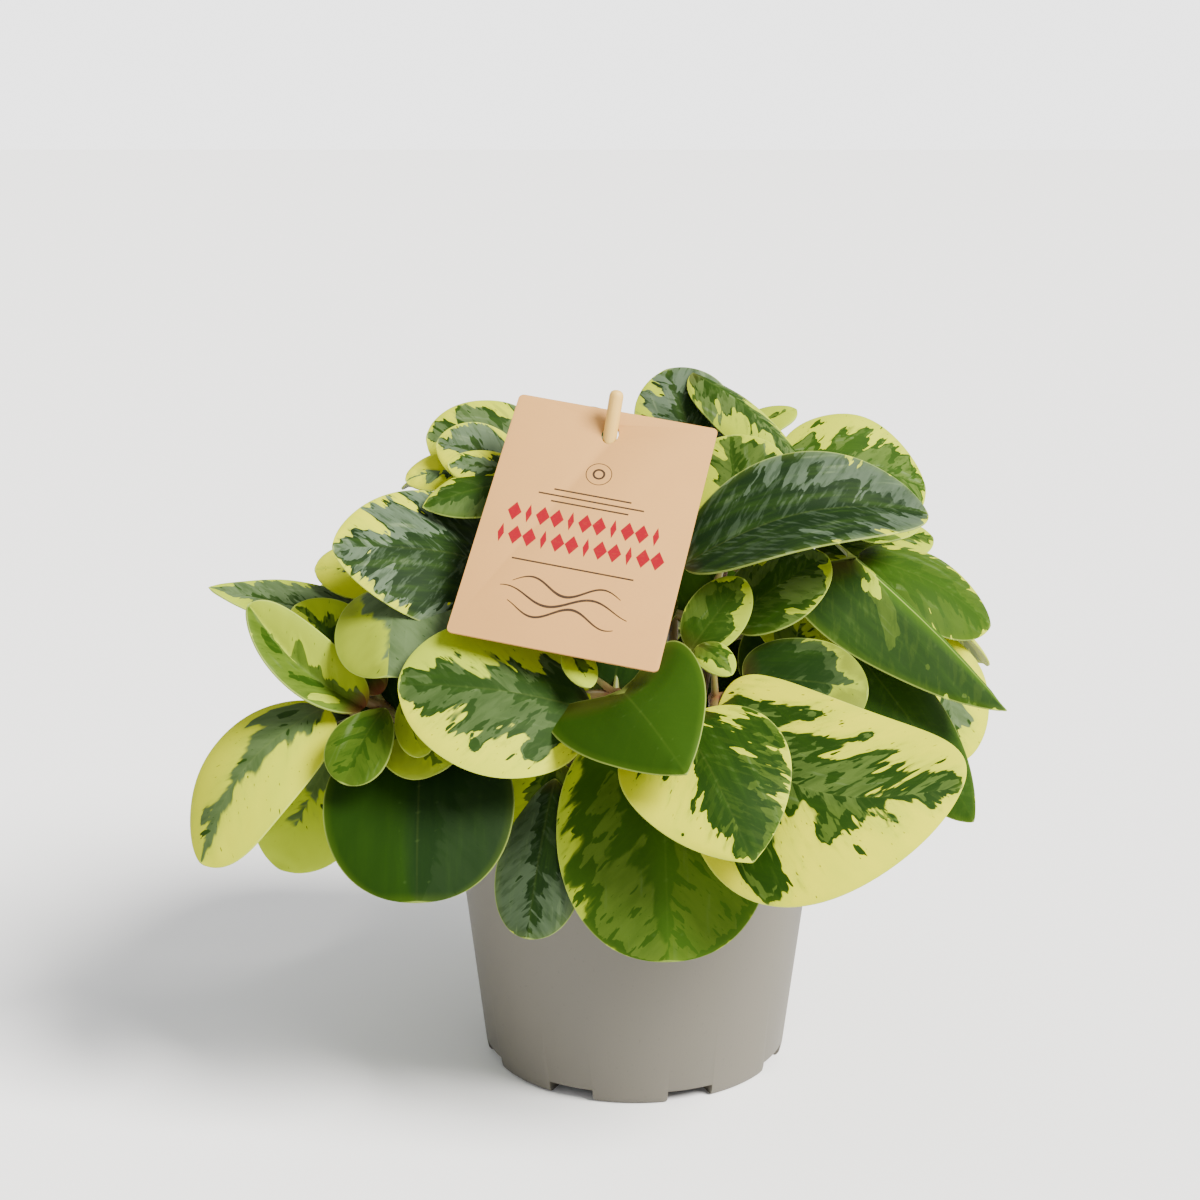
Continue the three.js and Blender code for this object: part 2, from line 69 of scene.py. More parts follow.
# Stems, stalks and leaves
ROOT_DEPTH = 16
STEM_RADII = (2.97, 0.42)
STEM_RIPE = (0.25, 0.85)
STALK_RADIUS = 1.3
STALK_TAPER = (1.7, 0.28)
STALK_RIPE = (0.8, 0)
FULL_STALK_WIDTH = 26
THINNEST_STALK = 0.6
STALK_START = 0.97
STALK_APPROACH = 0.3
KEEL = ((0.1, 0.5), (0.22, 0.55), (0.4, 0.35))
TUBE_SIDES = 12
PATH_STEPS = 42
STEM_SAMPLES = 80
LEAF_THICKNESS = 1.2
LEAF_CUP = -0.06
MARGIN_THICKNESS = 0.4
LEAF_ACROSS = 16
LEAF_ALONG = 28
GROOVE_DEPTH = 0.45
GROOVE_WIDTH = 1.3
QUILT_DEPTH = 0.14
QUILTS = 6
VEIN_SWEEP = 0.9
MARGIN_WAVE = 0.5
HALF_SHIFT = 3.1

# Card and stick
CARD_SIZE = (58, 81, 0.6)
CARD_CORNER = 1.5
CARD_HOLE_DROP = 8.5
CARD_HOLE_SHIFT = -0.5
CARD_HOLE_RADIUS = 2.4
CARD_LEAN = 44
CARD_ROLL = 12.3
STICK_RADIUS = 2
STICK_FOOT = (-27, -25, SOIL_TOP - ROOT_DEPTH)
STICK_TIP = (-5.5, -21, 206)
STICK_END = ((1, 1.9), (0.95, 1.2), (0.8, 0.55), (0.5, 0.15), (0.15, 0))
CARD_CROSSING = 0.905
PRINT_LIFT = 0.03
PRINT_DEPTH = 0.12
RING_HEIGHT = -14
RINGS = ((3.6, 0.35), (1.5, 0.9))
RULE_WIDTH = 0.5
RULES = ((-21.5, 22), (-23.5, 30), (-25.5, 22), (-46, 34))
LOZENGE = (3.9, 6.2)
NARROW_LOZENGE = 0.45
LOZENGE_PITCH = 4
LOZENGE_ROWS = ((-31, 11), (-38.6, 12))
WAVES = ((-53, 30), (-57, 36), (-61, 30))
RED_INK = (0.235, 0.003, 0.011)
BROWN_INK = (0.038, 0.024, 0.015)
KRAFT = (0.45, 0.225, 0.058)
FIBRE_STRETCH = (900, 2400, 1800)

# Colours of the leaves and stems
CREAM = (0.52, 0.51, 0.003)
LIME = (0.30, 0.38, 0.012)
# Olive: the pale colour darkened, painted shade for the pale parts of leaves that lie in shade
SHADE_OLIVE = (0.12, 0.15, 0.012)
SAGE_BLUE = (0.078, 0.112, 0.070)
SAGE_FRESH = (0.070, 0.115, 0.010)
DEEP_BLUE = (0.0050, 0.014, 0.0040)
DEEP_FRESH = (0.0085, 0.027, 0.0015)
BRIGHT = (0.055, 0.125, 0.008)
WISP = (0.15, 0.20, 0.10)
SIDE_VEIN = (0.12, 0.20, 0.05)
RIM_PALE = (0.36, 0.45, 0.09)
THIN_MARGIN = (0.16, 0.26, 0.015)
UNDERSIDE = (0.30, 0.36, 0.10)
RUSSET = (0.14, 0.034, 0.018)

# Edges sharper than these angles, in degrees, are shaded sharp or rounded
SMOOTH_ANGLE = 40
SHARP_ANGLE = 50

# Camera, worked out for a 1200 by 1200 picture
PICTURE_WIDTH = 1200
FOCAL_PIXELS = 2090
SENSOR_WIDTH = 36
CAMERA_PLACE = (0, -608.84, 277.63)
CAMERA_PITCH = 12.68
AXIS_OFFSET_PIXELS = 37

# Floor and light
FLOOR_SIZE = 60
KEY_FROM = (0.61, -0.39, 0.68)
KEY_STRENGTH = 11.5
KEY_SPREAD = 28
KEY_TINT = (1, 0.97, 0.92)
FILL_STRENGTH = 0.9
FILL_TINT = (0.97, 0.98, 1)
BACKDROP_STRENGTH = 3.1


# The leaves

# Outlines: the powers of s and of 1 - s in the half width, and how far the lobes reach back.
OUTLINES = {
    "oval": (0.52, 0.55, 0.1),
    "obovate": (0.75, 0.48, 0),
    "round": (0.42, 0.45, 0.3),
    "heart": (0.28, 0.88, 0.7),
    "cordate": (0.24, 0.9, 0.78),
    "pointed": (0.5, 0.82, 0.25),
    "ovate": (0.42, 0.66, 0.2),
    "broad": (0.42, 0.52, 0.25),
    "long": (0.62, 0.72, 0),
}

NONE = (-0.6, -0.6, -0.6)
FULL = (1.6, 1.6, 1.6)
HALF_TONES = ("tone", "gold", "light", "sage")


def look(left, right, deep_left=NONE, deep_right=NONE, **more):
    """How a leaf is marked, seen from above with its tip away from the viewer.

    left and right say how far the green reaches from the midrib, as shares of the half width,
    at the base, the middle and the tip; deep_left and deep_right say it for the dark green.
    tone runs from blue-green to fresh green, gold from cream (0) over lime (1) to olive (2), where
    the olive is painted shade that darkens the pale parts of leaves lying in shade; light brightens
    the dark green and sage lightens the middle green; a name that ends in _right is the right half's
    own value. streak lengthens the feathered edges, fringe darkens the green along its border,
    midrib draws the pale line down the middle and russet flushes the base.
    patches are (s, c, length, width, strength) spots that add green or take it away, with a sixth
    number where the dark green's own strength differs.
    """
    values = {"tone": 0.5, "gold": 0.25, "light": 0.12, "sage": 0.6, "streak": 0.6, "patches": (),
              "fringe": 0.6, "midrib": 0.03, "russet": 0.15}
    values.update(left=left, right=right, deep_left=deep_left, deep_right=deep_right, **more)
    for name in HALF_TONES:
        values.setdefault(f"{name}_right", values[name])
    return values


LOOKS = {
    # left cluster
    "L1": look((0.32, 0.16, 0.1), (0.62, 0.22, 0.12), tone=0.5, gold=0.45, sage=0.8, streak=0.3, fringe=0.3,
               patches=((0.14, 0.55, 0.07, 0.2, 0.5), (0.3, 0.68, 0.04, 0.1, 0.4),
                        (0.8, 0.35, 0.05, 0.06, 0.35), (0.16, 0.4, 0.05, 0.15, 0, 0.75))),
    "L2": look((0.6, 0.1, -0.3), (0.7, 0.05, -0.3), tone=0.6, gold=1.05, sage=0.9, streak=0.35, fringe=0.1),
    "L3": look(FULL, FULL, (1.2, 0.35, 0.2), FULL, tone=0.3, tone_right=0.95, light=0, sage=0.05,
               streak=0.25, fringe=0),
    "L4": look(FULL, FULL, (0.3, 0.1, -0.1), (0.3, 0.2, -0.1), tone=1, sage=0.5, light=0.2, streak=1.1),
    "L5": look((0.4, 0, -0.3), (0.5, 0.1, -0.3), tone=1, gold=1.55, sage=1),
    "L6": look((0.8, 0.4, -0.1), (0.8, 0.4, -0.1), tone=1, sage=1, gold=1.7, fringe=0.2),
    "L7": look((1.5, 1.3, 1.2), (0.5, 0.1, -0.1), (0.1, -0.1, 0), (-0.2, -0.3, -0.3), tone=1, gold=1.5,
               sage=0.95, streak=0.7, fringe=0.2, russet=0.9,
               patches=((0.72, -0.35, 0.1, 0.2, 0.2, 0.6), (0.5, -0.6, 0.06, 0.2, 0, 0.6),
                        (0.36, -0.3, 0.05, 0.2, 0, 0.55), (0.2, -0.5, 0.08, 0.3, -0.7, -0.5))),
    "L8": look((1, 0.3, -0.1), (1, 0.5, 0.1), (0.5, -0.1, -0.4), (0.8, 0.3, -0.2), tone=1, gold=1.35,
               sage=0.9, russet=0.6),
    "L9": look((1, 0.4, 0), (1, 0.4, 0), (0.5, 0, -0.2), (0.5, 0, -0.2), tone=0.9, sage=1,
               gold=1.3, russet=0.9),
    "LB1": look((1.2, 0.65, 0.3), (1.3, 0.8, 0.5), (0.75, 0.1, -0.3), (0.5, 0.1, -0.2), tone=0.4, gold=1.1,
                sage=1, streak=0.9, fringe=0.35),
    "LB2": look((0.4, 0.1, -0.1), (0.4, 0.1, -0.1), tone=0.5, gold=0.45, sage=1),
    # LB3: the dark green over its centre and the side by the card is painted shade in part, besides the
    # leaf's own dark marks
    "LB3": look((1.5, 1.1, 0.8), (1.6, 0.95, 0.6), (1.6, 1.05, 0.2), (1.6, 0.6, -0.3),
                tone=0.05, gold=0.3, light=0.03, sage=1, streak=1.2, fringe=0.6,
                patches=((0.75, 0.3, 0.03, 0.25, -0.4), (0.55, 0.65, 0.03, 0.3, -0.35))),
    "LB4": look(FULL, (0.9, 0.15, -0.2), (0.3, -0.1, -0.4), (-0.2, -0.3, -0.4), tone=0.4, gold=1.75, sage=1,
                streak=0.25, fringe=0.2,
                patches=((0.28, 0.5, 0.1, 0.05, 0.5), (0.45, 0.3, 0.05, 0.05, 0.3))),
    "TL1": look((0.4, 0.3, 0.2), (0.95, 0.8, 0.6), (-0.2, -0.2, -0.2), (0.3, 0.25, 0), tone=0.5, gold=0.5,
                sage=0.95, streak=1.2),
    "TL2": look((0.3, 0.3, 0.1), (1.1, 0.9, 0.6), NONE, (0.3, 0.2, 0), tone=0.15, gold=0.35,
                sage=1, streak=1.1),
    "TL3": look((0.4, 0.3, 0.1), (0.3, 0.2, 0), tone=0.4, gold=0.35, sage=1, streak=1),
    "TL4": look((1.4, 1.2, 1), (0.9, 0.8, 0.7), (0.5, 0.3, 0.2), (0.85, 0.6, 0.4),
                tone=0.7, gold=0.5, sage=0.7, streak=0.8),
    "TL5": look((0.6, 0.5, 0.3), (0.8, 0.6, 0.3), (0.1, 0.1, -0.1), (0.2, 0.1, -0.1), tone=0.3, gold=0.4,
                sage=1, streak=1.1),
    # front
    "F1": look((0.75, 0.55, 0.5), (0.6, 0.36, 0.5), (0.3, 0.08, 0.1), (0.3, 0.12, 0.15),
               tone=0.55, gold=0.3, gold_right=1.2, sage=0.5, light=0.08, streak=0.6, fringe=0.6,
               patches=((0.27, -0.6, 0.03, 0.12, 0.33, 0.9), (0.33, -0.68, 0.02, 0.13, 0.36, 0.8),
                        (0.62, -0.72, 0.03, 0.08, 0.36, 0.8), (0.18, 0.5, 0.06, 0.16, 0.35))),
    "F2": look(FULL, FULL, FULL, (1.6, 1.3, 1.2), tone=1, gold=1.5, light=0.22, light_right=0.15, sage=0.4,
               streak=0.12, fringe=0, patches=((0.1, 0.9, 0.07, 0.12, -0.35),)),
    "F3": look((0.8, 0.4, 0.1), (0.2, 0.1, -0.1), (0.3, 0, -0.2), NONE, tone=1, gold=0.95, sage=0.9),
    "F4": look(FULL, (1.6, 1.3, 1.1), (1.1, 0.4, 0), (0.8, 0.3, 0),
               tone=0.15, gold=1, sage=0.6, light=0.03, streak=1, fringe=0.2),
    "F5": look((0.7, 0.2, -0.1), (0.6, 0.2, -0.1), (0.3, -0.2, -0.4), (0.3, -0.2, -0.4), tone=0.9,
               gold=0.95, sage=0.8),
    "F6": look((1.5, 1.2, 1), (0.84, 0.9, 1), (0.4, 0, -0.2), (0.9, 0.3, 0.05), tone=1,
               tone_right=0.95, gold=1.25, light=0.45, light_right=0.25, sage=0.66, sage_right=0.68,
               streak=0.2, fringe=0.9,
               patches=((0.45, 0.6, 0.02, 0.12, 0, -0.5), (0.62, 0.68, 0.02, 0.1, 0, -0.5),
                        (0.3, 0.65, 0.025, 0.1, 0, -0.5), (0.55, 0.5, 0.08, 0.12, 0, 0.3))),
    "FR1": look((0.75, 0.78, 0.95), (0.35, 0.32, 0.3), (1.2, 0.7, 0.75), (0.35, 0.28, 0.25),
                tone=0.95, gold=0.4, gold_right=0.2, light=0, sage=0.5, streak=0.9, fringe=0.6,
                patches=((0.32, 0.75, 0.03, 0.07, 0.4), (0.72, 0.85, 0.02, 0.06, 0.4),
                         (0.35, -0.87, 0.015, 0.06, 0.4), (0.52, -0.88, 0.015, 0.05, 0.4),
                         (0.42, -0.3, 0.03, 0.15, 0, -0.6), (0.65, -0.5, 0.025, 0.15, 0, -0.6))),
    "FR2": look((0.6, 0.52, 0.45), (0.55, 0.22, 0.15), (0.5, -0.1, -0.2), (0.35, -0.2, -0.3),
                tone=0.8, tone_right=0.9, gold=0.1, light=0.03, sage=0.7, sage_right=0.6, streak=0.55,
                fringe=0.8,
                patches=((0.45, 0.78, 0.11, 0.33, 0.7, 0.75), (0.5, 0.3, 0.02, 0.12, 0.42),
                         (0.62, 0.38, 0.02, 0.12, 0.42), (0.73, 0.5, 0.018, 0.12, 0.4),
                         (0.83, 0.5, 0.025, 0.13, 0.42, 0), (0.6, -0.7, 0.012, 0.07, 0.42),
                         (0.4, -0.76, 0.015, 0.07, 0.42), (0.46, 0.92, 0.02, 0.1, 0, -0.9),
                         (0.42, -0.4, 0.06, 0.2, 0, 0.45), (0.6, -0.3, 0.05, 0.16, 0, 0.4))),
    "FR3": look((1.3, 0.8, 0.3), (1.2, 0.6, 0.1), (0.4, 0.1, -0.1), (0.2, 0, -0.2), tone=1, gold=1.3,
                sage=0.8),
    # FR4: gold 2 makes its pale half olive, painted shade for a leaf that lies in shade inside the plant
    "FR4": look((1.6, 1, -0.1), (1.5, 0.3, -0.3), (1.5, 0.7, -0.3), (1.4, 0.1, -0.5), tone=0.5, gold=2,
                light=0, sage=0.3, streak=0.6, fringe=0.3,
                patches=((0.62, 0.1, 0.03, 0.12, 0.5), (0.78, 0.6, 0.03, 0.15, 0.5))),
    "FR5": look((1.4, 1.1, 0.5), (1.3, 0.8, 0.1), (1, 0.4, -0.1), (1, 0.4, -0.1),
                tone=0.9, gold=1.3, light=0.15, sage=0.7, streak=0.9),
    # right
    "R1": look((1.2, 1, 0.9), (1.4, 1.4, 1.05), (0.3, 0, 0), (1.5, 1.4, 1.1), tone=1, gold=1.15, light=0.6,
               light_right=0, sage=0.45, sage_right=0.45, streak=0.8, fringe=0.1, midrib=0.5,
               patches=((0.13, 0.1, 0.08, 0.24, -1.25), (0.34, 0.3, 0.1, 0.3, 0, -0.8),
                        (0.6, 0.5, 0.04, 0.3, 0, -0.6), (0.78, 0.5, 0.03, 0.3, 0, -0.6))),
    "R2": look((1.1, 0.9, 0.8), (1.5, 1.2, 1.0), (0.8, 0.3, 0), (1.1, 0.5, 0.1), tone=1, gold=0.6,
               light=0.25, sage=0.35, streak=1.1, fringe=0.3),
    "R3": look((0.6, 0.3, 0.1), (0.5, 0.3, 0.1), tone=0.4, gold=0.35, sage=1),
    "R4": look((1.5, 1.3, 1.1), (1.6, 1.5, 1.4), (1.5, 1.1, 0.9), (1.6, 1.4, 1.2), tone=0.9, gold=0.3,
               light=0.1, sage=0.35),
    "R5": look((0.8, 0.2, -0.2), (0.6, 0, -0.3), (0.2, -0.2, -0.3), NONE, tone=0.9, gold=1.6, sage=0.8),
    "TR1": look((1.5, 1.3, 1), (1.45, 1.25, 1.05), (1.6, 0.65, -0.1), (1.6, 0.9, 0.35), tone=0, gold=0.3,
                light=0.02, sage=0.7, streak=1.2, fringe=0.1),
    "TR2": look((1.3, 1.1, 0.7), (1.3, 1, 0.5), (0.9, 0.45, 0.1), (0.8, 0.35, 0), tone=0.8, gold=1.35,
                light=0.1, sage=0.75, streak=1),
    "TR3": look((0.2, 0.15, 0.1), (1.1, 0.85, 0.6), NONE, (0.7, 0.4, 0.1), tone=0.85, gold=0.8, sage=0.8,
                streak=1),
    "TR4": look((0.9, 0.7, 0.5), (0.9, 0.6, 0.5), (0.5, 0.3, 0.1), (0.5, 0.3, 0.1),
                tone=0.95, gold=0.85, sage=0.9, streak=1.2),
    "TB1": look((0.95, 0.8, 0.7), FULL, (0.1, -0.1, -0.3), (0.9, 0.3, 0), tone=0.05, gold=0.8,
                sage=0.95, light=0.05, streak=1.2),
    "TB2": look((0.7, 0.4, 0.3), (0.8, 0.6, 0.5), (0.2, 0, 0), (0.3, 0.1, 0),
                tone=0.7, gold=0.95, sage=0.95, streak=1.2),
    "TB4": look((0.15, 0.6, 0.6), (0.5, 0.9, 0.6), NONE, (0, 0.35, 0.1),
                tone=0.85, gold=0.6, sage=0.85, light=0.2, streak=1.4, fringe=1),
    # rear and inner leaves
    "banded": look((0.6, 0.35, 0.15), (0.55, 0.3, 0.15), (0.2, -0.1, -0.2), (0.15, -0.05, -0.2),
                   tone=0.3, gold=0.4, sage=0.8, streak=0.7, fringe=0.8),
    "mottled": look((0.95, 0.7, 0.45), (0.85, 0.75, 0.5), (0.5, 0.2, 0), (0.4, 0.3, 0.1),
                    tone=0.5, gold=0.5, sage=0.8, streak=0.9),
    "half": look((0.1, 0.1, 0.05), (1.3, 1.1, 0.8), NONE, (0.9, 0.5, 0.2), tone=0.4, gold=0.5, sage=0.8,
                 streak=0.8),
    "deep": look(FULL, FULL, (1.5, 1.1, 0.8), (1.5, 1.1, 0.8), tone=0.8, light=0.2, sage=0.35, streak=0.7),
    # shaded: dark green all over, painted shade in part, for inner leaves that fill the gaps between the
    # stems
    "shaded": look(FULL, FULL, FULL, FULL, tone=0.6, light=0, sage=0.2, streak=0.5, fringe=0),
    "dusky": look((1.6, 1.3, 1), (1.6, 1.35, 1.1), (1.3, 0.6, 0.2), (1.35, 0.8, 0.3),
                  tone=0.15, gold=0.3, light=0.1, sage=0.8, streak=1.2),
    "lime": look((0.7, 0.3, 0.1), (0.6, 0.25, 0), (0.2, -0.1, -0.3), (0.1, -0.1, -0.3), tone=1, gold=0.95,
                 sage=0.9),
}


def leaf(base, tip, face, width, marks, **form):
    """A leaf from base to tip, its upper side towards face, and how it is marked."""
    values = {"bow": 0, "fold": 0, "cup": LEAF_CUP, "bend": 0, "shape": "oval", "start": STALK_START}
    values.update(base=Vector(base), tip=Vector(tip), face=Vector(face), width=width, marks=marks, **form)
    values["span"] = (values["tip"] - values["base"]).length
    return values


STEMS = {
    "stem_left": ((-25, -15), [(-35, -23, 103), (-54, -37, 112), (-72, -49, 121)], [
        leaf((-86, -53, 122), (-118, -72, 83), (-4, -7, 5), 35, "L1", bow=0.1, fold=-10, bend=0.08),
        leaf((-82, -44, 111), (-100, -54, 75), (-2, -8, 4), 36, "L2", bow=0.06, start=0.9),
        leaf((-59, -54, 113), (-58, -85, 77), (0, -8, 5), 52, "L3", bow=0.1, shape="round", start=0.9),
        leaf((-68, -62, 124), (-78, -76, 107), (-2, -8, 5), 19, "L4", bow=0.1, fold=6, shape="obovate"),
        leaf((-64, -58, 125), (-57, -70, 113), (0, -8, 5), 10, "L5", bow=0.05, shape="obovate"),
        leaf((-62, -57, 120), (-52, -70, 109), (0, -8, 5), 25, "L6", bow=0.08, shape="round"),
        leaf((-75, -54, 122), (-106, -54, 151), (4, -7, 5), 23, "L7", bow=-0.08, fold=32, bend=-0.05),
        leaf((-72, -46, 127), (-96, -38, 147), (2, -8, 5), 24, "L8", bow=0.05),
        leaf((-71, -50, 125), (-80, -44, 138), (3, -8, 4), 11, "L9", bow=0.05),
        leaf((-80, -40, 116), (-114, -16, 97), (-4, 1, 9), 38, "mottled", bow=0.15, fold=-8),
        leaf((-63, -48, 110), (-71, -43, 130), (0, -8, 3), 21, "shaded", bow=0.04, start=0.85),
    ]),
    "stem_left_rear": ((-27, 5), [(-30, 4, 105), (-41, -2, 130), (-48, -8, 144)], [
        leaf((-80, -19, 141), (-122, -28, 150), (0, -3, 9), 25, "LB1", bow=-0.03, fold=6, shape="pointed"),
        leaf((-63, -6, 149), (-94, -12, 152), (-1, -6, 8), 24, "LB2", bow=0.05),
        leaf((-36, -20, 153), (-83, -50, 166), (-1, -7, 6), 48, "LB3", bow=0.1, fold=-6, shape="ovate"),
        leaf((-66, -40, 153), (-67, -66, 134), (-1, -8, 6), 34, "LB4", bow=0.08, fold=-10, shape="round"),
        leaf((-57, 6, 148), (-98, 26, 138), (-3, 2, 9), 40, "half", bow=0.14, fold=-8),
        leaf((-52, -28, 140), (-92, -26, 131), (-1, -6, 8), 24, "L8", bow=0.08),
        leaf((-52, 0, 133), (-86, 3, 112), (-4, 0, 8), 30, "deep", bow=0.1, start=0.8),
    ]),
    "stem_top_left": ((-12, 18), [(-14, 18, 120), (-24, 13, 152), (-28, 10, 170)], [
        leaf((-26, 8, 184), (-62, 2, 189), (-1, -8, 5), 29, "TL1", bow=0.08, fold=-6),
        leaf((-34, -3, 180), (-58, -8, 189), (-1, -8, 5), 20, "TL2", bow=0.08),
        leaf((-44, -2, 181), (-67, -10, 178), (-1, -6, 8), 16, "TL3", bow=0.06),
        leaf((-34, -17, 179), (-60, -31, 174), (-1, -7, 7), 19, "TL4", bow=0.06, fold=-14, shape="pointed"),
        leaf((-32, -12, 181), (-54, -18, 184), (-1, -7, 6), 13, "TL5", bow=0.05, fold=-10),
        leaf((-34, 24, 176), (-72, 40, 168), (-3, 2, 9), 40, "dusky", bow=0.15, fold=-8),
        leaf((-22, 30, 184), (-34, 66, 180), (-1, 3, 9), 40, "banded", bow=0.15),
        leaf((-20, 8, 184), (-16, 28, 195), (-2, -7, 6), 24, "TB1", bow=0.06),
        leaf((-28, 26, 152), (-52, 41, 145), (-3, 3, 8), 36, "mottled", bow=0.12, start=0.6),
        leaf((-13, 30, 146), (-10, 60, 138), (0, 3, 9), 34, "deep", bow=0.12, start=0.55),
    ]),
    "stem_front": ((-5, -30), [(-5, -34, 102), (-6, -45, 116), (-5, -54, 127)], [
        leaf((-12, -63, 124), (-63, -74, 134), (0, -7, 7), 48, "F1", bow=0.08, fold=-6),
        leaf((-3, -71, 131), (13, -101, 118), (-3, -5, 8), 44, "F2", bow=0.1, fold=-6, shape="cordate"),
        leaf((-18, -60, 140), (-12, -72, 133), (1, -8, 6), 9, "F3", bow=0.08),
        leaf((-22, -61, 104), (-29, -80, 65), (-2, -9, 3), 25, "F4",
             bow=0.06, fold=-12, shape="obovate", start=0.8),
        leaf((-22, -57, 108), (-34, -67, 80), (-3, -9, 3), 29, "F5", bow=0.06, start=0.8),
        leaf((7, -56, 116), (9, -88, 62), (0, -8, 5), 59, "F6", bow=0.09, fold=-6, shape="round",
             start=0.9),
        leaf((-7, -43, 122), (-3, -37, 141), (0, -8, 3), 22, "shaded", bow=0.04, start=0.85),
    ]),
    "stem_front_right": ((17, -20), [(18, -26, 104), (22, -42, 116), (22, -50, 125)], [
        leaf((12, -71, 124), (30, -102, 95), (0, -7, 7), 46, "FR1", bow=0.1, fold=-5, shape="pointed"),
        leaf((22, -58, 122), (85, -88, 111), (-1, -7, 7), 64, "FR2",
             bow=0.08, fold=-8, cup=-0.12, bend=0.23, shape="broad"),
        leaf((17, -54, 140), (26, -62, 134), (0, -6, 8), 10, "FR3", bow=0.1),
        leaf((30, -47, 128), (64, -51, 126), (0, -6, 8), 33, "FR4", bow=0.08, shape="round"),
        leaf((15, -50, 138), (30, -42, 156), (-1, -9, 4), 17, "FR5", bow=0.06),
    ]),
    "stem_right": ((33, -3), [(36, -5, 105), (50, -12, 128), (58, -15, 142)], [
        leaf((63, -21, 158), (105, -36, 117), (5, -4, 8), 49, "R1", bow=0.03, fold=-32, shape="heart"),
        leaf((66, 0, 154), (105, -4, 134), (3, -5, 8), 34, "R2", bow=0.1, fold=-10),
        leaf((86, 2, 131), (96, -14, 95), (4, -8, 4), 30, "R3", bow=0.08),
        leaf((61, -27, 134), (98, -30, 82), (3, -8, 4), 28, "R4", bow=0.06, fold=-12, shape="long"),
        leaf((44, -26, 130), (52, -16, 151), (0, -8, 5), 27, "R5", bow=0.06),
        leaf((72, 12, 140), (108, 22, 116), (4, 2, 8), 40, "banded", bow=0.14, fold=-8),
        leaf((41, -10, 112), (43, -12, 141), (0, -8, 2), 24, "shaded", bow=0.03, start=0.5),
    ]),
    "stem_top_right": ((13, 3), [(14, 2, 120), (24, -8, 146), (27, -14, 158)], [
        leaf((13, -38, 159), (82, -27, 172), (-1, -6, 8), 39, "TR1", bow=0.15, fold=18, cup=0),
        leaf((26, -37, 142), (54, -29, 160), (-3, -7, 6), 25, "TR2", bow=0.06),
        leaf((30, -18, 166), (27, -6, 191), (-1, -8, 6), 33, "TR3", bow=0.06, shape="round"),
        leaf((62, -6, 164), (84, 0, 168), (0, -6, 8), 20, "TR4", bow=0.06),
        leaf((34, 4, 134), (62, 16, 120), (3, 2, 8), 34, "mottled", bow=0.12, start=0.6),
        leaf((12, -8, 140), (-10, -6, 142), (-1, -4, 9), 26, "deep", bow=0.1, start=0.7),
        leaf((27, 2, 158), (36, 22, 161), (1, 1, 9), 24, "lime", bow=0.1, start=0.75),
        leaf((20, 8, 131), (26, 6, 96), (1, -8, 2), 28, "shaded", bow=0.06, start=0.5),
        leaf((18, 3, 131), (27, 9, 156), (-1, -8, 3), 28, "deep", bow=0.05, start=0.6),
    ]),
    "stem_top_rear": ((9, 24), [(10, 26, 125), (12, 28, 160), (14, 28, 176)], [
        leaf((19, 24, 180), (9, 31, 206), (0, -8, 5), 31, "TB1", bow=0.08),
        leaf((17, 30, 205), (49, 14, 180), (3, -5, 8), 22, "TB2", bow=0.08, fold=-28),
        leaf((28, 40, 182), (50, 44, 192), (0, -3, 9), 18, "lime", bow=0.06),
        leaf((42, 14, 177), (88, 22, 171), (-1, -7, 7), 44, "TB4", bow=0.12),
        leaf((55, 24, 152), (92, 30, 154), (0, -4, 9), 28, "TR4", bow=0.08),
        leaf((18, 44, 176), (22, 82, 164), (1, 4, 9), 44, "half", bow=0.14, fold=-8),
        leaf((36, 36, 176), (72, 58, 166), (3, 3, 9), 42, "dusky", bow=0.14, fold=-8),
        leaf((6, 46, 149), (2, 88, 134), (0, 4, 8), 38, "banded", bow=0.14, start=0.6),
        leaf((26, 32, 150), (60, 36, 140), (3, 1, 9), 36, "deep", bow=0.12, start=0.62),
        leaf((0, 16, 152), (-12, -4, 156), (-1, -3, 9), 28, "lime", bow=0.1, start=0.7),
    ]),
    "stem_rear_left": ((-18, 36), [(-20, 39, 104), (-30, 50, 120), (-37, 58, 132)], [
        leaf((-42, 66, 136), (-68, 92, 112), (-3, 6, 7), 46, "banded", bow=0.14, fold=-8),
        leaf((-50, 52, 136), (-94, 60, 124), (-4, 3, 8), 42, "mottled", bow=0.14, fold=-8),
        leaf((-32, 70, 134), (-24, 100, 102), (0, 7, 6), 48, "deep", bow=0.12, shape="round"),
        leaf((-30, 64, 146), (-18, 84, 164), (-1, -3, 9), 26, "lime", bow=0.06),
        leaf((-54, 40, 124), (-94, 34, 96), (-6, 1, 7), 40, "dusky", bow=0.12),
    ]),
    "stem_rear_right": ((22, 36), [(25, 40, 104), (36, 50, 120), (43, 56, 132)], [
        leaf((48, 64, 136), (70, 90, 108), (3, 6, 7), 46, "dusky", bow=0.14, fold=-8),
        leaf((56, 56, 134), (98, 66, 116), (4, 3, 8), 42, "half", bow=0.14, fold=-8),
        leaf((36, 70, 132), (24, 100, 100), (0, 7, 6), 48, "mottled", bow=0.12, shape="round"),
        leaf((56, 38, 122), (94, 28, 94), (6, 1, 7), 40, "deep", bow=0.12),
        leaf((44, 56, 146), (56, 76, 154), (1, 1, 9), 26, "lime", bow=0.06),
        leaf((10, 54, 124), (0, 82, 100), (0, 7, 6), 40, "banded", bow=0.1, start=0.7),
    ]),
}


# Small tools for the work in Blender

def pick(*objects):
    """Selects only these objects, the first one active."""
    bpy.ops.object.select_all(action="DESELECT")
    for piece in objects:
        piece.select_set(True)
    bpy.context.view_layer.objects.active = objects[0]


def added(name):
    """Names the object that an operator has just added."""
    piece = bpy.context.object
    piece.name = name
    piece.data.name = name
    return piece


def put(name, data):
    """Adds an object with this data to the scene."""
    piece = bpy.data.objects.new(name, data)
    bpy.context.scene.collection.objects.link(piece)
    return piece


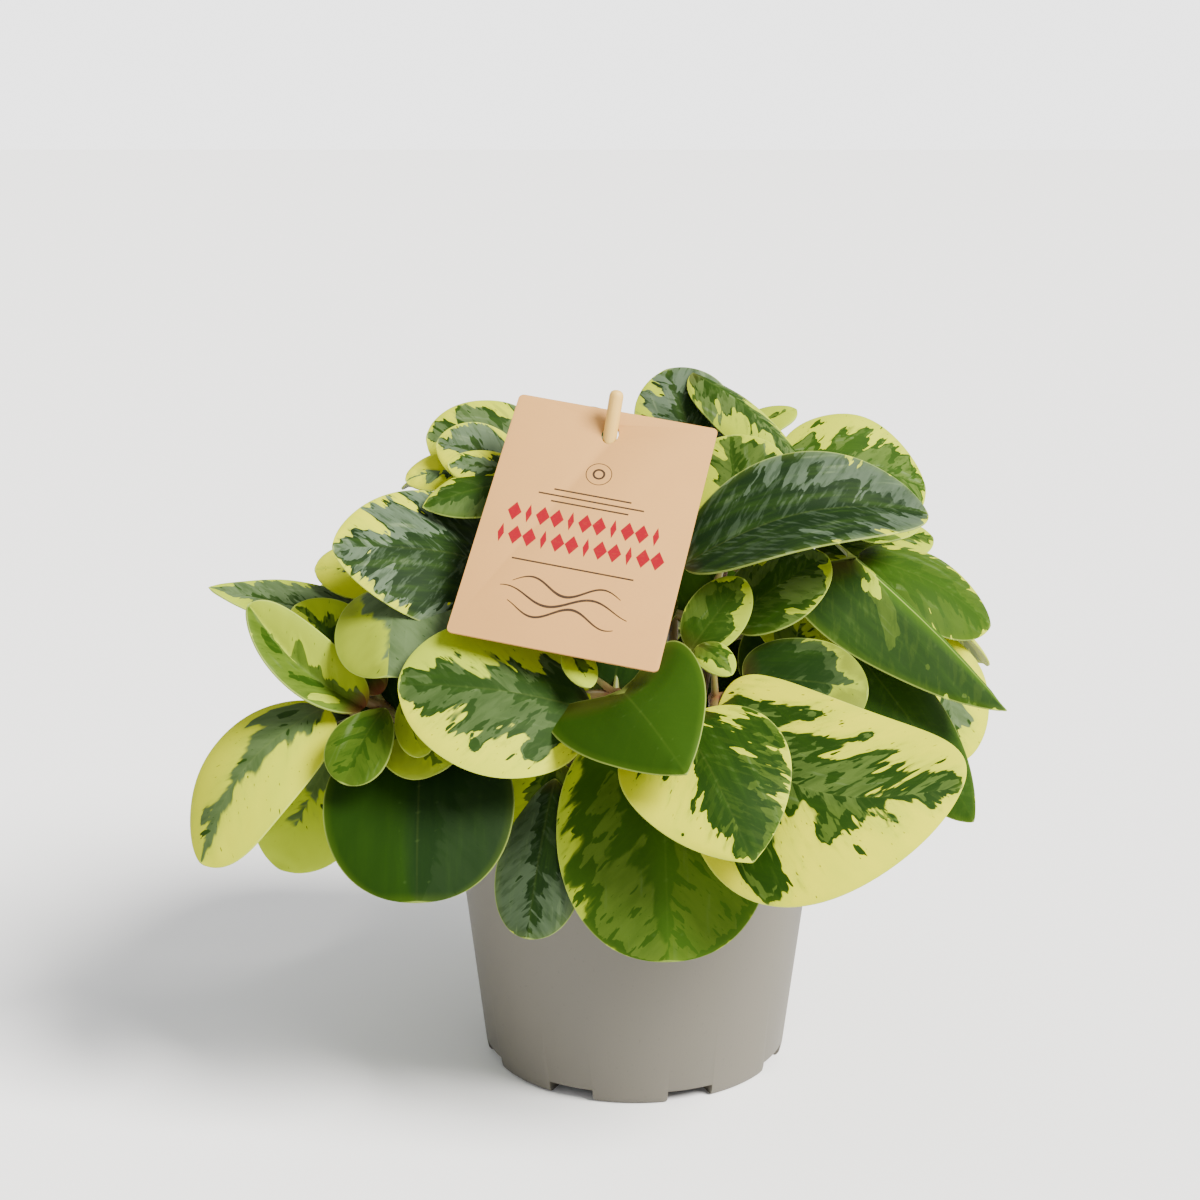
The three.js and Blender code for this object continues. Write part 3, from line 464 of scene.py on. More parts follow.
@contextmanager
def edit_mode(piece, action=None):
    """Edit mode on one piece, where action selects or deselects all of it first."""
    pick(piece)
    bpy.ops.object.mode_set(mode="EDIT")
    if action:
        bpy.ops.mesh.select_all(action=action)
    yield
    bpy.ops.object.mode_set(mode="OBJECT")


def draw_up(rings):
    """In edit mode, draws the selected ring on through rings of (radius, height) in millimetres."""
    for (radius, height), (next_radius, next_height) in zip(rings, rings[1:]):
        bpy.ops.mesh.extrude_region_move(
            TRANSFORM_OT_translate={"value": (0, 0, (next_height - height) * MM)})
        share = next_radius / radius
        bpy.ops.transform.resize(value=(share, share, 1), center_override=(0, 0, 0))


def face_out():
    """In edit mode, turns every face outwards."""
    bpy.ops.mesh.select_all(action="SELECT")
    bpy.ops.mesh.normals_make_consistent(inside=False)


def finish_with(piece, kind, **values):
    """Adds a modifier and applies it."""
    pick(piece)
    modifier = piece.modifiers.new(kind.lower(), kind)
    for name, value in values.items():
        setattr(modifier, name, value)
    bpy.ops.object.modifier_apply(modifier=modifier.name)


def cut_away(piece, cutter):
    finish_with(piece, "BOOLEAN", operation="DIFFERENCE", object=cutter, solver="EXACT")
    bpy.data.objects.remove(cutter)


def break_edges(piece, width):
    """Rounds a piece's sharp edges by a width in millimetres."""
    finish_with(piece, "BEVEL", width=width * MM, segments=2, limit_method="ANGLE",
                angle_limit=math.radians(SHARP_ANGLE))


def coordinates(piece):
    points = np.empty(len(piece.data.vertices) * 3)
    piece.data.vertices.foreach_get("co", points)
    return points.reshape(-1, 3)


def reshape(piece, points):
    """Moves a piece's points to new places, in metres."""
    piece.data.vertices.foreach_set("co", np.asarray(points, float).ravel())
    piece.data.update()


def own_copy(piece, name):
    copy = piece.copy()
    copy.data = piece.data.copy()
    copy.name = name
    bpy.context.scene.collection.objects.link(copy)
    return copy


def join(pieces, name):
    pick(*pieces)
    if len(pieces) > 1:
        bpy.ops.object.join()
    return added(name)


def settle(piece, node):
    """A finished piece rides on the part's one body and stands for its CAD node."""
    pick(piece)
    bpy.ops.object.shade_smooth_by_angle(angle=math.radians(SMOOTH_ANGLE))
    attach(piece, "root")
    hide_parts(node)


def paint(piece, name, values):
    """Stores four numbers for each point of a piece, for its material to read."""
    layer = piece.data.attributes.new(name, "FLOAT_COLOR", "POINT")
    layer.data.foreach_set("color", np.asarray(values, float).ravel())


def smooth_path(points, count):
    """Points along a centripetal Catmull-Rom curve, with each one's share of the length."""
    knots = [Vector(p) for p in points]
    knots = [knots[0] * 2 - knots[1], *knots, knots[-1] * 2 - knots[-2]]
    path = []
    stretches = len(knots) - 3
    for k in range(count + 1):
        place = min(k / count * stretches, stretches - 1e-9)
        i = int(place)
        a, b, c, d = knots[i:i + 4]
        ab, bc, cd = (max((q - p).length, 1e-6) ** 0.5 for p, q in ((a, b), (b, c), (c, d)))
        out = ((b - a) / ab - (c - a) / (ab + bc) + (c - b) / bc) * bc
        into = ((c - b) / bc - (d - b) / (bc + cd) + (d - c) / cd) * bc
        t = place - i
        path.append(b * (2 * t**3 - 3 * t**2 + 1) + out * (t**3 - 2 * t**2 + t)
                    + c * (3 * t**2 - 2 * t**3) + into * (t**3 - t**2))
    lengths = [0.0]
    for p, q in zip(path, path[1:]):
        lengths.append(lengths[-1] + (q - p).length)
    return path, [x / lengths[-1] for x in lengths]


def point_at(line, share):
    """The point at a share of the length of what smooth_path gives."""
    path, shares = line
    for k in range(1, len(path)):
        if shares[k] >= share:
            t = (share - shares[k - 1]) / (shares[k] - shares[k - 1])
            return path[k - 1].lerp(path[k], t)
    return path[-1]


# Node tools

class Flow:
    """What flows out of a node. It is reckoned with like a number, by Math nodes."""

    def __init__(self, tree, socket):
        self.tree = tree
        self.socket = socket

    def reckon(self, operation, *values):
        return new_node(self.tree, "Math", values, operation=operation)

    def __add__(self, other):
        return self.reckon("ADD", self, other)

    def __sub__(self, other):
        return self.reckon("SUBTRACT", self, other)

    def __rsub__(self, other):
        return self.reckon("SUBTRACT", other, self)

    def __mul__(self, other):
        return self.reckon("MULTIPLY", self, other)

    def __abs__(self):
        return self.reckon("ABSOLUTE", self)

    __radd__ = __add__
    __rmul__ = __mul__


def feed(socket, value):
    """Sets a socket to a value, or links a flow to it. A colour of three numbers is opaque."""
    if isinstance(value, Flow):
        value.tree.links.new(value.socket, socket)
    elif isinstance(value, tuple) and len(value) == 3 and len(socket.default_value) == 4:
        socket.default_value = (*value, 1)
    else:
        socket.default_value = value


def new_node(tree, kind, inputs=(), output=0, **settings):
    """Adds a node with its settings and inputs, and gives what flows out of it."""
    made = tree.nodes.new(f"ShaderNode{kind}")
    for name, value in settings.items():
        setattr(made, name, value)
    for key, value in inputs.items() if isinstance(inputs, dict) else enumerate(inputs):
        feed(made.inputs[key], value)
    return Flow(tree, made.outputs[output])


def outputs(flow):
    """All that flows out of the node that a flow comes from."""
    return [Flow(flow.tree, socket) for socket in flow.socket.node.outputs]


def new_group(name, inputs, results):
    """A node group with named inputs and outputs, each with the kind of its socket."""
    tree = bpy.data.node_groups.new(name, "ShaderNodeTree")
    for in_out, sockets in (("INPUT", inputs), ("OUTPUT", results)):
        for socket, kind in sockets.items():
            tree.interface.new_socket(socket, in_out=in_out, socket_type=f"NodeSocket{kind}")
    given = tree.nodes.new("NodeGroupInput").outputs
    flows = [Flow(tree, given[socket]) for socket in inputs]
    return tree, flows, tree.nodes.new("NodeGroupOutput").inputs


def clamped(flow):
    """The same flow out of a Math node, kept between 0 and 1."""
    flow.socket.node.use_clamp = True
    return flow


def larger(first, second):
    return first.reckon("MAXIMUM", first, second)


def mix(share, first, second):
    """A colour that goes from the first to the second as share goes from 0 to 1."""
    tree = next(value.tree for value in (share, first, second) if isinstance(value, Flow))
    return new_node(tree, "Mix", {0: share, 6: first, 7: second}, 2, data_type="RGBA")


def step(value, low, high):
    """0 below low, 1 above high, and a soft step between them."""
    return new_node(value.tree, "MapRange", {"Value": value, "From Min": low, "From Max": high},
                    interpolation_type="SMOOTHSTEP")


def swing(value, amount):
    """A noise value turned into a push up or down from nothing."""
    return (value - 0.5) * amount


def grain(vector, detail, rough, stretch, shift=(0, 0, 0)):
    """Noise from 0 to 1 on coordinates that are shifted and stretched first."""
    if not isinstance(stretch, (tuple, Flow)):
        stretch = (stretch,) * 3
    place = new_node(vector.tree, "Mapping", {"Vector": vector, "Location": shift, "Scale": stretch})
    return new_node(vector.tree, "TexNoise",
                    {"Vector": place, "Scale": 1, "Detail": detail, "Roughness": rough})


def vein_grain(vein, fineness, shift, detail=2, rough=0.5):
    """Noise on vein coordinates: its fineness along the midrib and across it, and its shift."""
    return grain(vein, detail, rough, (*fineness, 1), (*shift, 0))


def stored(tree, name):
    """The colour and the fourth number that a piece's points store under a name."""
    colour, _, _, fourth = outputs(new_node(tree, "Attribute", attribute_name=name))
    return colour, fourth


def split(flow, kind="Color"):
    """The three numbers of a colour, or of a vector with kind XYZ."""
    return outputs(new_node(flow.tree, f"Separate{kind}", (flow,)))


def new_material(name):
    material = bpy.data.materials.new(name)
    material.use_nodes = True
    tree = material.node_tree
    return material, tree, tree.nodes["Principled BSDF"]


def object_place(tree):
    return new_node(tree, "TexCoord", output="Object")


def coat(shader, colour, roughness, gloss=0.5, relief=None, depth=0.0, strength=1.0):
    """Sets a shader's colour, roughness, gloss and relief, the depth of the relief in metres."""
    feed(shader.inputs["Base Color"], colour)
    feed(shader.inputs["Roughness"], roughness)
    feed(shader.inputs["Specular IOR Level"], gloss)
    if relief is not None:
        bump = new_node(relief.tree, "Bump", {"Height": relief, "Distance": depth, "Strength": strength})
        feed(shader.inputs["Normal"], bump)


def flecks_group():
    """Fine stretched grain, and a second colour laid over the base where it is strongest."""
    tree, (place, stretch, detail, rough, low, high, amount, base, fleck), result = new_group(
        "flecks", {"Place": "Vector", "Stretch": "Vector", "Detail": "Float", "Rough": "Float",
                   "Low": "Float", "High": "Float", "Amount": "Float", "Base": "Color", "Fleck": "Color"},
        {"Color": "Color", "Grain": "Float"})
    strands = grain(place, detail, rough, stretch)
    feed(result["Color"], mix(step(strands, low, high) * amount, base, fleck))
    feed(result["Grain"], strands)
    return tree


def flecks(place, stretch, detail, rough, low, high, amount, base, fleck):
    """The flecks group placed in a material: gives the colour and the grain."""
    values = place, stretch, detail, rough, low, high, amount, base, fleck
    return outputs(new_node(place.tree, "Group", values, node_tree=bpy.data.node_groups["flecks"]))


# Leaf and stem materials

def feathers(vein, streak, shift):
    """Ragged lobes and teeth drawn out along the side veins, as a push on a mask's edge."""
    coarse = swing(vein_grain(vein, (1.2, 0.7), (shift, 0)), 2.0)
    medium = swing(vein_grain(vein, (3.1, 1.3), (0, shift)), 1.15)
    fine = swing(vein_grain(vein, (7.5, 3), (shift, shift)), 0.35)
    ragged = step(vein_grain(vein, (0.9, 0.9), (shift, 5), 1), 0.38, 0.62)
    return (coarse + (medium + fine) * (0.2 + ragged)) * (streak + 0.15)


def leaf_marks_group():
    """The colours of a variegated leaf, from what its points store and its vein coordinates."""
    tree, (field, streak, colours, sage, extra, ribs, vein, paleness), result = new_group(
        "leaf_marks", {"Field": "Color", "Streak": "Float", "Look": "Color", "Sage": "Float",
                       "Extra": "Color", "Ribs": "Float", "Vein": "Vector", "Pale": "Float"},
        {"Color": "Color", "Roughness": "Float", "Height": "Float"})
    green, deep, rim = split(field)
    tone, gold, light = split(colours)
    fringe, midrib, russet = split(extra)
    along, across, _ = split(vein, "XYZ")
    off_midrib = abs(across)

    # The green parts and the dark patches in them, both with feathered edges.
    edge = green + feathers(vein, streak, 3)
    soften = clamped(0.75 - streak) * 0.12
    is_green = step(edge, 0.485 - soften, 0.515 + soften)
    soften = soften * 0.4
    is_deep = step(deep + feathers(vein, streak, 17), 0.485 - soften, 0.515 + soften)
    blotch = vein_grain(vein, (2.1, 0.8), (31, 5), 3, 0.55)
    border = step(edge, 0.46, 0.53) * (1 - step(edge, 0.6, 0.95)) * fringe + swing(blotch, 1.9)
    is_deep = larger(is_deep, step(border, 0.56, 0.62))

    # Islands of dark green in the pale part, most of them close to the green.
    near = step(edge, 0.0, 0.5) * fringe
    island = step(vein_grain(vein, (3.1, 1.5), (1, 43)) + near * 0.13, 0.715, 0.735)
    speck = step(vein_grain(vein, (11, 6), (1, 4), 1) + near * 0.06, 0.735, 0.765)
    island = larger(island, speck * 0.7)

    soft = vein_grain(vein, (0.9, 0.6), (8, 8))
    lengthways = new_node(tree, "CombineXYZ", (along + off_midrib * VEIN_SWEEP, across))
    streaks = vein_grain(lengthways, (0.45, 3.2), (2, 9), 3, 0.6)
    pale = mix(gold, CREAM, LIME)
    # Past 1, gold takes the pale parts towards olive: painted shade for leaves that lie in shade
    pale = mix(clamped(gold - 1), pale, SHADE_OLIVE)
    pale = mix(step(soft, 0.35, 0.75) * 0.35, pale, LIME)
    pale = mix(step(edge, 0.1, 0.5) * 0.4, pale, LIME)
    deep_green = mix(light, mix(tone, DEEP_BLUE, DEEP_FRESH), BRIGHT)
    lit = mix(0.15, deep_green, BRIGHT)
    deep_green = mix(step(streaks, 0.4, 0.75) * streak, deep_green, lit)
    middle = mix(sage, deep_green, mix(tone, SAGE_BLUE, SAGE_FRESH))
    middle = mix(step(blotch, 0.38, 0.68) * 0.4, middle, deep_green)
    middle = mix(step(streaks, 0.56, 0.72) * (sage * 0.5 * streak), middle, WISP)
    mottle = vein_grain(vein, (4.4, 1.6), (13, 2), 3, 0.6)
    spots = step(mottle, 0.5, 0.62) * streak
    gleams = step(mottle, 0.5, 0.38) * streak
    mottled = mix(spots * 0.4, middle, deep_green)
    flecked = mix(gleams * 0.3, deep_green, middle)
    pale = mix(spots * step(edge, 0.1, 0.5) * 0.35, pale, middle)
    marks = mix(is_green, pale, mottled)
    marks = mix(is_deep * is_green, marks, flecked)
    marks = mix(island, marks, deep_green)

    # The midrib, the side veins, the thin pale rim, the flush at the base and the underside.
    marks = mix((1 - step(off_midrib, 0.012, 0.045)) * midrib, marks, RIM_PALE)
    marks = mix(step(ribs, 0.8, 1.0) * 0.08, marks, SIDE_VEIN)
    marks = mix((1 - step(rim, 0.0, 0.3)) * 0.09, marks, THIN_MARGIN)
    marks = mix((1 - step(rim, 0.0, 0.05)) * 0.45, marks, RIM_PALE)
    marks = mix(russet, marks, RUSSET)
    feed(result["Color"], mix(paleness, marks, UNDERSIDE))
    feed(result["Roughness"], 0.48 + soft * 0.14)
    feed(result["Height"], soft * 0.7 + streaks * 0.3)
    return tree


def leaf_material(name, group, paleness):
    material, tree, shader = new_material(name)
    vein = new_node(tree, "UVMap", uv_map="vein")
    marks = new_node(tree, "Group", (*stored(tree, "field"), *stored(tree, "look"), *stored(tree, "extra"),
                                     vein, paleness), node_tree=group)
    colour, roughness, height = outputs(marks)
    coat(shader, colour, roughness, 0.04, height, 0.0003, 0.6)
    return material


def stem_material():
    """Fleshy green stems, russet where the stalks leave them."""
    material, tree, shader = new_material("stem_skin")
    ripe, ring, _ = split(stored(tree, "look")[0])
    blotch = grain(object_place(tree), 4, 0.6, 260)
    skin = mix(blotch, (0.10, 0.15, 0.025), (0.20, 0.25, 0.06))
    skin = mix(clamped(ripe + swing(blotch, 0.9)), skin, RUSSET)
    skin = mix(ring * 0.5, skin, (0.045, 0.02, 0.009))
    coat(shader, skin, 0.34 + blotch * 0.25, 0.3, blotch, 0.0004, 0.5)
    return material


# Leaf blades

def unit_leaf():
    """A flat leaf grid from which every blade is copied: x holds c and y holds s."""
    bpy.ops.mesh.primitive_grid_add(x_subdivisions=LEAF_ACROSS, y_subdivisions=LEAF_ALONG, size=2)
    blade = added("unit_leaf")
    points = coordinates(blade)
    points[:, 0] = np.sin(points[:, 0] * math.pi / 2)
    points[:, 1] = (1 - np.cos(math.pi * (points[:, 1] + 1) / 2)) / 2
    reshape(blade, points)
    body = blade.vertex_groups.new(name="body")
    for k, (c, s, _) in enumerate(points):
        inside = min((1 - abs(c)) * 5, s * 10, (1 - s) * 10, 1)
        body.add([k], inside, "REPLACE")
    return blade


def half_width(blade, s):
    base, tip, _ = OUTLINES[blade["shape"]]
    peak = base / (base + tip)
    top = peak**base * (1 - peak)**tip
    return blade["width"] / 2 * s**base * (1 - s)**tip / top


def blade_axes(blade):
    along = (blade["tip"] - blade["base"]).normalized()
    up = (blade["face"] - along * blade["face"].dot(along)).normalized()
    return np.array(along), np.array(up), np.array(along.cross(up))


def lobe_reach(blade, s, c):
    """How far the lobes at the base reach back, in millimetres."""
    return OUTLINES[blade["shape"]][2] * half_width(blade, s) * c**2 * (1 - s)**2


def vein_place(blade, s, c):
    """Where along the midrib the side vein through a point leaves it, in millimetres."""
    s = np.clip(s, 0, 1)
    return s * blade["span"] - lobe_reach(blade, s, c) - VEIN_SWEEP * half_width(blade, s) * np.abs(c)


def blade_points(blade, s, c, seed=0):
    """Points of the middle surface, in millimetres, with the groove, the quilting and the waves."""
    along, up, right = blade_axes(blade)
    length = blade["span"]
    s = np.clip(s, 0, 1)
    half = half_width(blade, s)
    fold = math.radians(blade["fold"])
    swell = np.sin(math.pi * s)
    height = blade["bow"] * length * swell + half * np.abs(c) * math.sin(fold) + blade["cup"] * half * c**2
    finish = np.clip(blade["width"] / 30, 0.3, 1)
    height -= finish * GROOVE_DEPTH * np.exp(-(half * c / GROOVE_WIDTH)**2) * swell**0.5
    quilt = np.cos(2 * math.pi * vein_place(blade, s, c) * QUILTS / length)
    height += finish * QUILT_DEPTH * quilt * np.abs(c) * (1 - np.abs(c)) * 4
    wave = np.sin(5.5 * s + 2.1 * seed + np.sign(c)) + 0.5 * np.sin(11 * s + 1.3 * seed)
    height += finish * MARGIN_WAVE * wave * np.abs(c)**3 * swell
    sideways = blade["bend"] * length * swell + half * c * math.cos(fold)
    return (np.array(blade["base"]) + np.outer(length * s - lobe_reach(blade, s, c), along)
            + np.outer(height, up) + np.outer(sideways, right))


def reach_at(s, values):
    """A smooth reach along the leaf from its values at the base, the middle and the tip."""
    base, middle, tip = values
    low, high = (np.clip((s - start) / 0.5, 0, 1) for start in (0, 0.5))
    low, high = (share * share * (3 - 2 * share) for share in (low, high))
    return base + (middle - base) * low + (tip - middle) * high


def mark_fields(blade, marks, s, c):
    """How green and how dark each point is, over a half inside and under it outside, and its rim."""
    across = np.abs(c)
    green, deep = (
        0.5 + 1.1 * (np.where(c < 0, reach_at(s, marks[left]), reach_at(s, marks[right])) - across)
        for left, right in (("left", "right"), ("deep_left", "deep_right")))
    vein = vein_place(blade, s, c)
    for at, side, length, width, strength, *dark in marks["patches"]:
        along = (vein - vein_place(blade, at, side)) / blade["span"]
        spot = 2 * np.exp(-(along / length)**2 - ((c - side) / width)**2)
        green = green + strength * spot
        deep = deep + (dark[0] if dark else strength) * spot
    half = half_width(blade, np.clip(s, 0, 1))
    rim = np.minimum((1 - across) * half, (1 - s) * blade["span"]) / 10
    return green, deep, rim, marks["streak"]


def extra_fields(blade, marks, s, c):
    """Dark fringe, midrib line, russet flush at the base, and the line of each side vein."""
    wave = np.cos(2 * math.pi * vein_place(blade, s, c) * QUILTS / blade["span"])
    ribs = (0.5 + 0.5 * wave) * np.clip(1.3 - np.abs(c) * 1.3, 0, 1)
    midrib = marks["midrib"] * np.clip(1.15 - s, 0, 1)
    russet = marks["russet"] * np.clip(1 - s * blade["span"] / 5, 0, 1)
    return marks["fringe"], midrib, russet, ribs


def make_blade(flat, blade, number):
    """A copy of the flat leaf, bent to its place, with its marks and vein coordinates."""
    piece = own_copy(flat, f"blade_{number}")
    c, s = coordinates(flat)[:, :2].T
    reshape(piece, blade_points(blade, s, c, number) * MM)
    marks = LOOKS[blade["marks"]]
    tones = [np.where(c > 0, marks[f"{name}_right"], marks[name]) for name in HALF_TONES]
    for name, fields in (("field", mark_fields(blade, marks, s, c)), ("look", tones),
                         ("extra", extra_fields(blade, marks, s, c))):
        paint(piece, name, np.stack(np.broadcast_arrays(*fields), 1))
    u = vein_place(blade, s, c) / 10 + 7.3 * number
    v = c * half_width(blade, s) / 10
    loops = np.empty(len(piece.data.loops), int)
    piece.data.loops.foreach_get("vertex_index", loops)
    uv = piece.data.uv_layers[0]
    uv.name = "vein"
    places = np.stack([u, v], 1)[loops]
    corners = len(loops) // len(piece.data.polygons)
    on_right = c[loops].reshape(-1, corners).mean(1) > 0
    places[np.repeat(on_right, corners), 0] += HALF_SHIFT
    uv.data.foreach_set("uv", places.ravel())
    return piece


# Stems and stalks

def unit_tube():
    """A closed upright bar from which stems and stalks are copied."""
    bpy.ops.mesh.primitive_cylinder_add(vertices=TUBE_SIDES, radius=1, depth=1, end_fill_type="TRIFAN",
                                        location=(0, 0, 0.5))
    tube = added("unit_tube")
    bpy.ops.object.transform_apply()
    return tube


def make_tube(tube, name, path, radii, ripe, ring):
    """A tapering copy of the bar between the ends of a path, square to the path at both.

    radii and ripe hold a value for each end, in millimetres and from green (0) to russet (1).
    """
    piece = own_copy(tube, name)
    line = smooth_path(path, PATH_STEPS)
    side = Vector((1, 0.3, 0.2))
    ends = []
    for share, radius in enumerate(radii):
        ahead, behind = (point_at(line, place) for place in (min(share + 0.02, 1), max(share - 0.02, 0)))
        forward = (ahead - behind).normalized()
        side = (side - forward * side.dot(forward)).normalized()
        ends.append((point_at(line, share), side, forward.cross(side), radius))
    placed = []
    values = []
    for x, y, z in coordinates(tube):
        here, first, second, radius = ends[round(z)]
        placed.append((here + (first * x + second * y) * radius) * MM)
        values.append((ripe[round(z)], ring, 0, 0))
    reshape(piece, placed)
    paint(piece, "look", values)
    return piece


def make_stalk(tube, name, line, blade):
    """A stalk from the stem to the leaf, which runs on under the blade as a thinning keel."""
    up = Vector(blade_axes(blade)[1])
    along = (blade["tip"] - blade["base"]).normalized()
    start = point_at(line, blade["start"])
    aim = blade["base"] - along * STALK_APPROACH * (blade["base"] - start).length
    thick = STALK_RADIUS * min(max(blade["width"] / FULL_STALK_WIDTH, THINNEST_STALK), 1)
    zero = np.array([0.0])
    keel = [Vector(blade_points(blade, zero + s, zero)[0]) - up * thick * drop for s, drop in KEEL]
    path = [start, start.lerp(aim, 0.6), blade["base"] - up * 0.3 * thick, *keel]
    return make_tube(tube, name, path, [thick * share for share in STALK_TAPER], STALK_RIPE, 0)


def make_leafy_stem(name, flat, tube, materials, first_number):
    (x, y), bends, leaves = STEMS[name]
    low = SOIL_TOP - ROOT_DEPTH
    path = [(x, y, low), (x, y, low + ROOT_DEPTH / 2), (x, y, SOIL_TOP + 3), *bends]
    line = smooth_path(path, STEM_SAMPLES)
    foliage = join([make_blade(flat, blade, first_number + k) for k, blade in enumerate(leaves)],
                   f"{name}_leaves")
    with edit_mode(foliage, "SELECT"):
        bpy.ops.mesh.remove_doubles(threshold=1e-5)
    for material in materials:
        foliage.data.materials.append(material)
    finish_with(foliage, "SOLIDIFY", thickness=LEAF_THICKNESS * MM, offset=0, material_offset=1,
                vertex_group="body", thickness_vertex_group=MARGIN_THICKNESS)
    finish_with(foliage, "SUBSURF", levels=1, render_levels=1)
    bars = [make_tube(tube, f"{name}_bar", path, STEM_RADII, STEM_RIPE, 1)]
    bars += [make_stalk(tube, f"{name}_stalk_{k}", line, blade) for k, blade in enumerate(leaves)]
    wood = join(bars, f"{name}_bars")
    for material in materials:
        wood.data.materials.append(material)
    wood.data.polygons.foreach_set("material_index", [2] * len(wood.data.polygons))
    settle(join([foliage, wood], f"{name}_plant"), name)


def make_plants():
    group = leaf_marks_group()
    materials = [leaf_material("leaf_upper", group, 0), leaf_material("leaf_under", group, 0.5),
                 stem_material()]
    flat = unit_leaf()
    tube = unit_tube()
    number = 0
    for name, (_, _, leaves) in STEMS.items():
        make_leafy_stem(name, flat, tube, materials, number)
        number += len(leaves)
    bpy.data.objects.remove(flat)
    bpy.data.objects.remove(tube)


# Pot

def turned(name, profile, sides):
    """A round body drawn up ring by ring from the disc at the profile's first radius and height."""
    radius, height = profile[0]
    bpy.ops.mesh.primitive_circle_add(vertices=sides, radius=radius * MM, fill_type="NGON",
                                      location=(0, 0, height * MM))
    piece = added(name)
    bpy.ops.object.transform_apply()
    with edit_mode(piece, "SELECT"):
        draw_up(profile)
        face_out()
    return piece


def wall_radius(z):
    share = (z - FOOT_CORNER) / (SHOULDER - FOOT_CORNER)
    return FOOT_RADIUS + FOOT_FLARE + share * (SHOULDER_RADIUS - FOOT_RADIUS - FOOT_FLARE)


def make_pot():
    profile = [
        (FOOT_RADIUS - 1.2, 0), (FOOT_RADIUS + 0.2, 0.3), (FOOT_RADIUS + 0.9, 1.2),
        (wall_radius(FOOT_CORNER), FOOT_CORNER), (wall_radius(30), 30), (wall_radius(62), 62),
        (SHOULDER_RADIUS, SHOULDER), (SHOULDER_RADIUS + 1.2, SHOULDER + 0.1),
        (RIM_RADIUS - 0.6, SHOULDER + 0.5), (RIM_RADIUS - 0.3, SHOULDER + 1.1),
        (RIM_RADIUS, POT_HEIGHT - 1), (RIM_RADIUS - 0.15, POT_HEIGHT - 0.3), (RIM_RADIUS - 0.6, POT_HEIGHT),
        (RIM_RADIUS - 1.5, POT_HEIGHT), (RIM_RADIUS - 2, POT_HEIGHT - 0.4),
        (RIM_RADIUS - 2.4, SHOULDER + 1.8), (SHOULDER_RADIUS - WALL, SHOULDER - 0.6),
        (wall_radius(5) - WALL, 5), (wall_radius(5) - WALL - 3, BASE_THICKNESS),
    ]
    pot = turned("pot_shell", profile, POT_SIDES)
    width, depth, height = DRAIN_SIZE
    out = (wall_radius(0) - depth / 2 + DRAIN_OVERHANG) * MM
    cutters = []
    for k in range(DRAIN_COUNT):
        turn = math.radians(DRAIN_TURN + 360 * k / DRAIN_COUNT)
        bpy.ops.mesh.primitive_cube_add(size=1, location=(math.sin(turn) * out, -math.cos(turn) * out, 0),
                                        rotation=(0, 0, turn))
        cutters.append(added(f"drain_{k}"))
        cutters[-1].scale = (width * MM, depth * MM, height * 2 * MM)
    pick(*cutters)
    bpy.ops.object.transform_apply()
    cut_away(pot, join(cutters, "drains"))
    break_edges(pot, 0.35)
    pot.data.materials.append(pot_material())
    settle(pot, "pot")


def pot_material():
    """Matt taupe plastic with the faint flecks and cloudiness of a mixed melt."""
    material, tree, shader = new_material("taupe_plastic")
    place = object_place(tree)
    cloud = grain(place, 3, 0.5, (22, 22, 11))
    base = mix(cloud, (0.094, 0.086, 0.066), (0.110, 0.100, 0.077))
    base, _ = flecks(place, (900, 900, 900), 2, 0.5, 0.66, 0.74, 0.35, base, (0.07, 0.064, 0.052))
    coat(shader, base, 0.5 + cloud * 0.15, relief=grain(place, 2, 0.5, 2200), depth=0.00004, strength=0.6)
    return material


# Soil

def make_soil():
    """The top of the peat, heaped and crumbly, on a plain body that fills the pot."""
    top_radius = wall_radius(SOIL_TOP) - WALL - SOIL_GAP - 0.2
    low_radius = wall_radius(5) - WALL - SOIL_GAP
    bpy.ops.mesh.primitive_grid_add(x_subdivisions=SOIL_GRID, y_subdivisions=SOIL_GRID, size=2)
    soil = added("peat")
    points = coordinates(soil)
    x, y = points[:, 0].copy(), points[:, 1].copy()
    points[:, 0] = x * np.sqrt(1 - y**2 / 2) * top_radius
    points[:, 1] = y * np.sqrt(1 - x**2 / 2) * top_radius
    for point in points:
        spot = Vector((point[0], point[1], 0))
        inside = 1 - (math.hypot(point[0], point[1]) / top_radius)**6
        lumps = 1.1 * noise.fractal(spot * 0.09, 0.8, 2.1, 3) + 0.8 * noise.fractal(spot * 0.45, 0.7, 2.2, 3)
        point[2] = SOIL_TOP + max(inside, 0) * (lumps + 0.3) - 0.4
    reshape(soil, points * MM)
    with edit_mode(soil, "SELECT"):
        bpy.ops.mesh.region_to_loop()
        draw_up([(top_radius, SOIL_TOP), (low_radius, 5.4), (low_radius - 3, SOIL_BASE)])
        bpy.ops.mesh.edge_face_add()
        face_out()
    soil = join([soil, *soil_crumbs(top_radius)], "peat_block")
    soil.data.materials.append(soil_material())
    settle(soil, "soil")


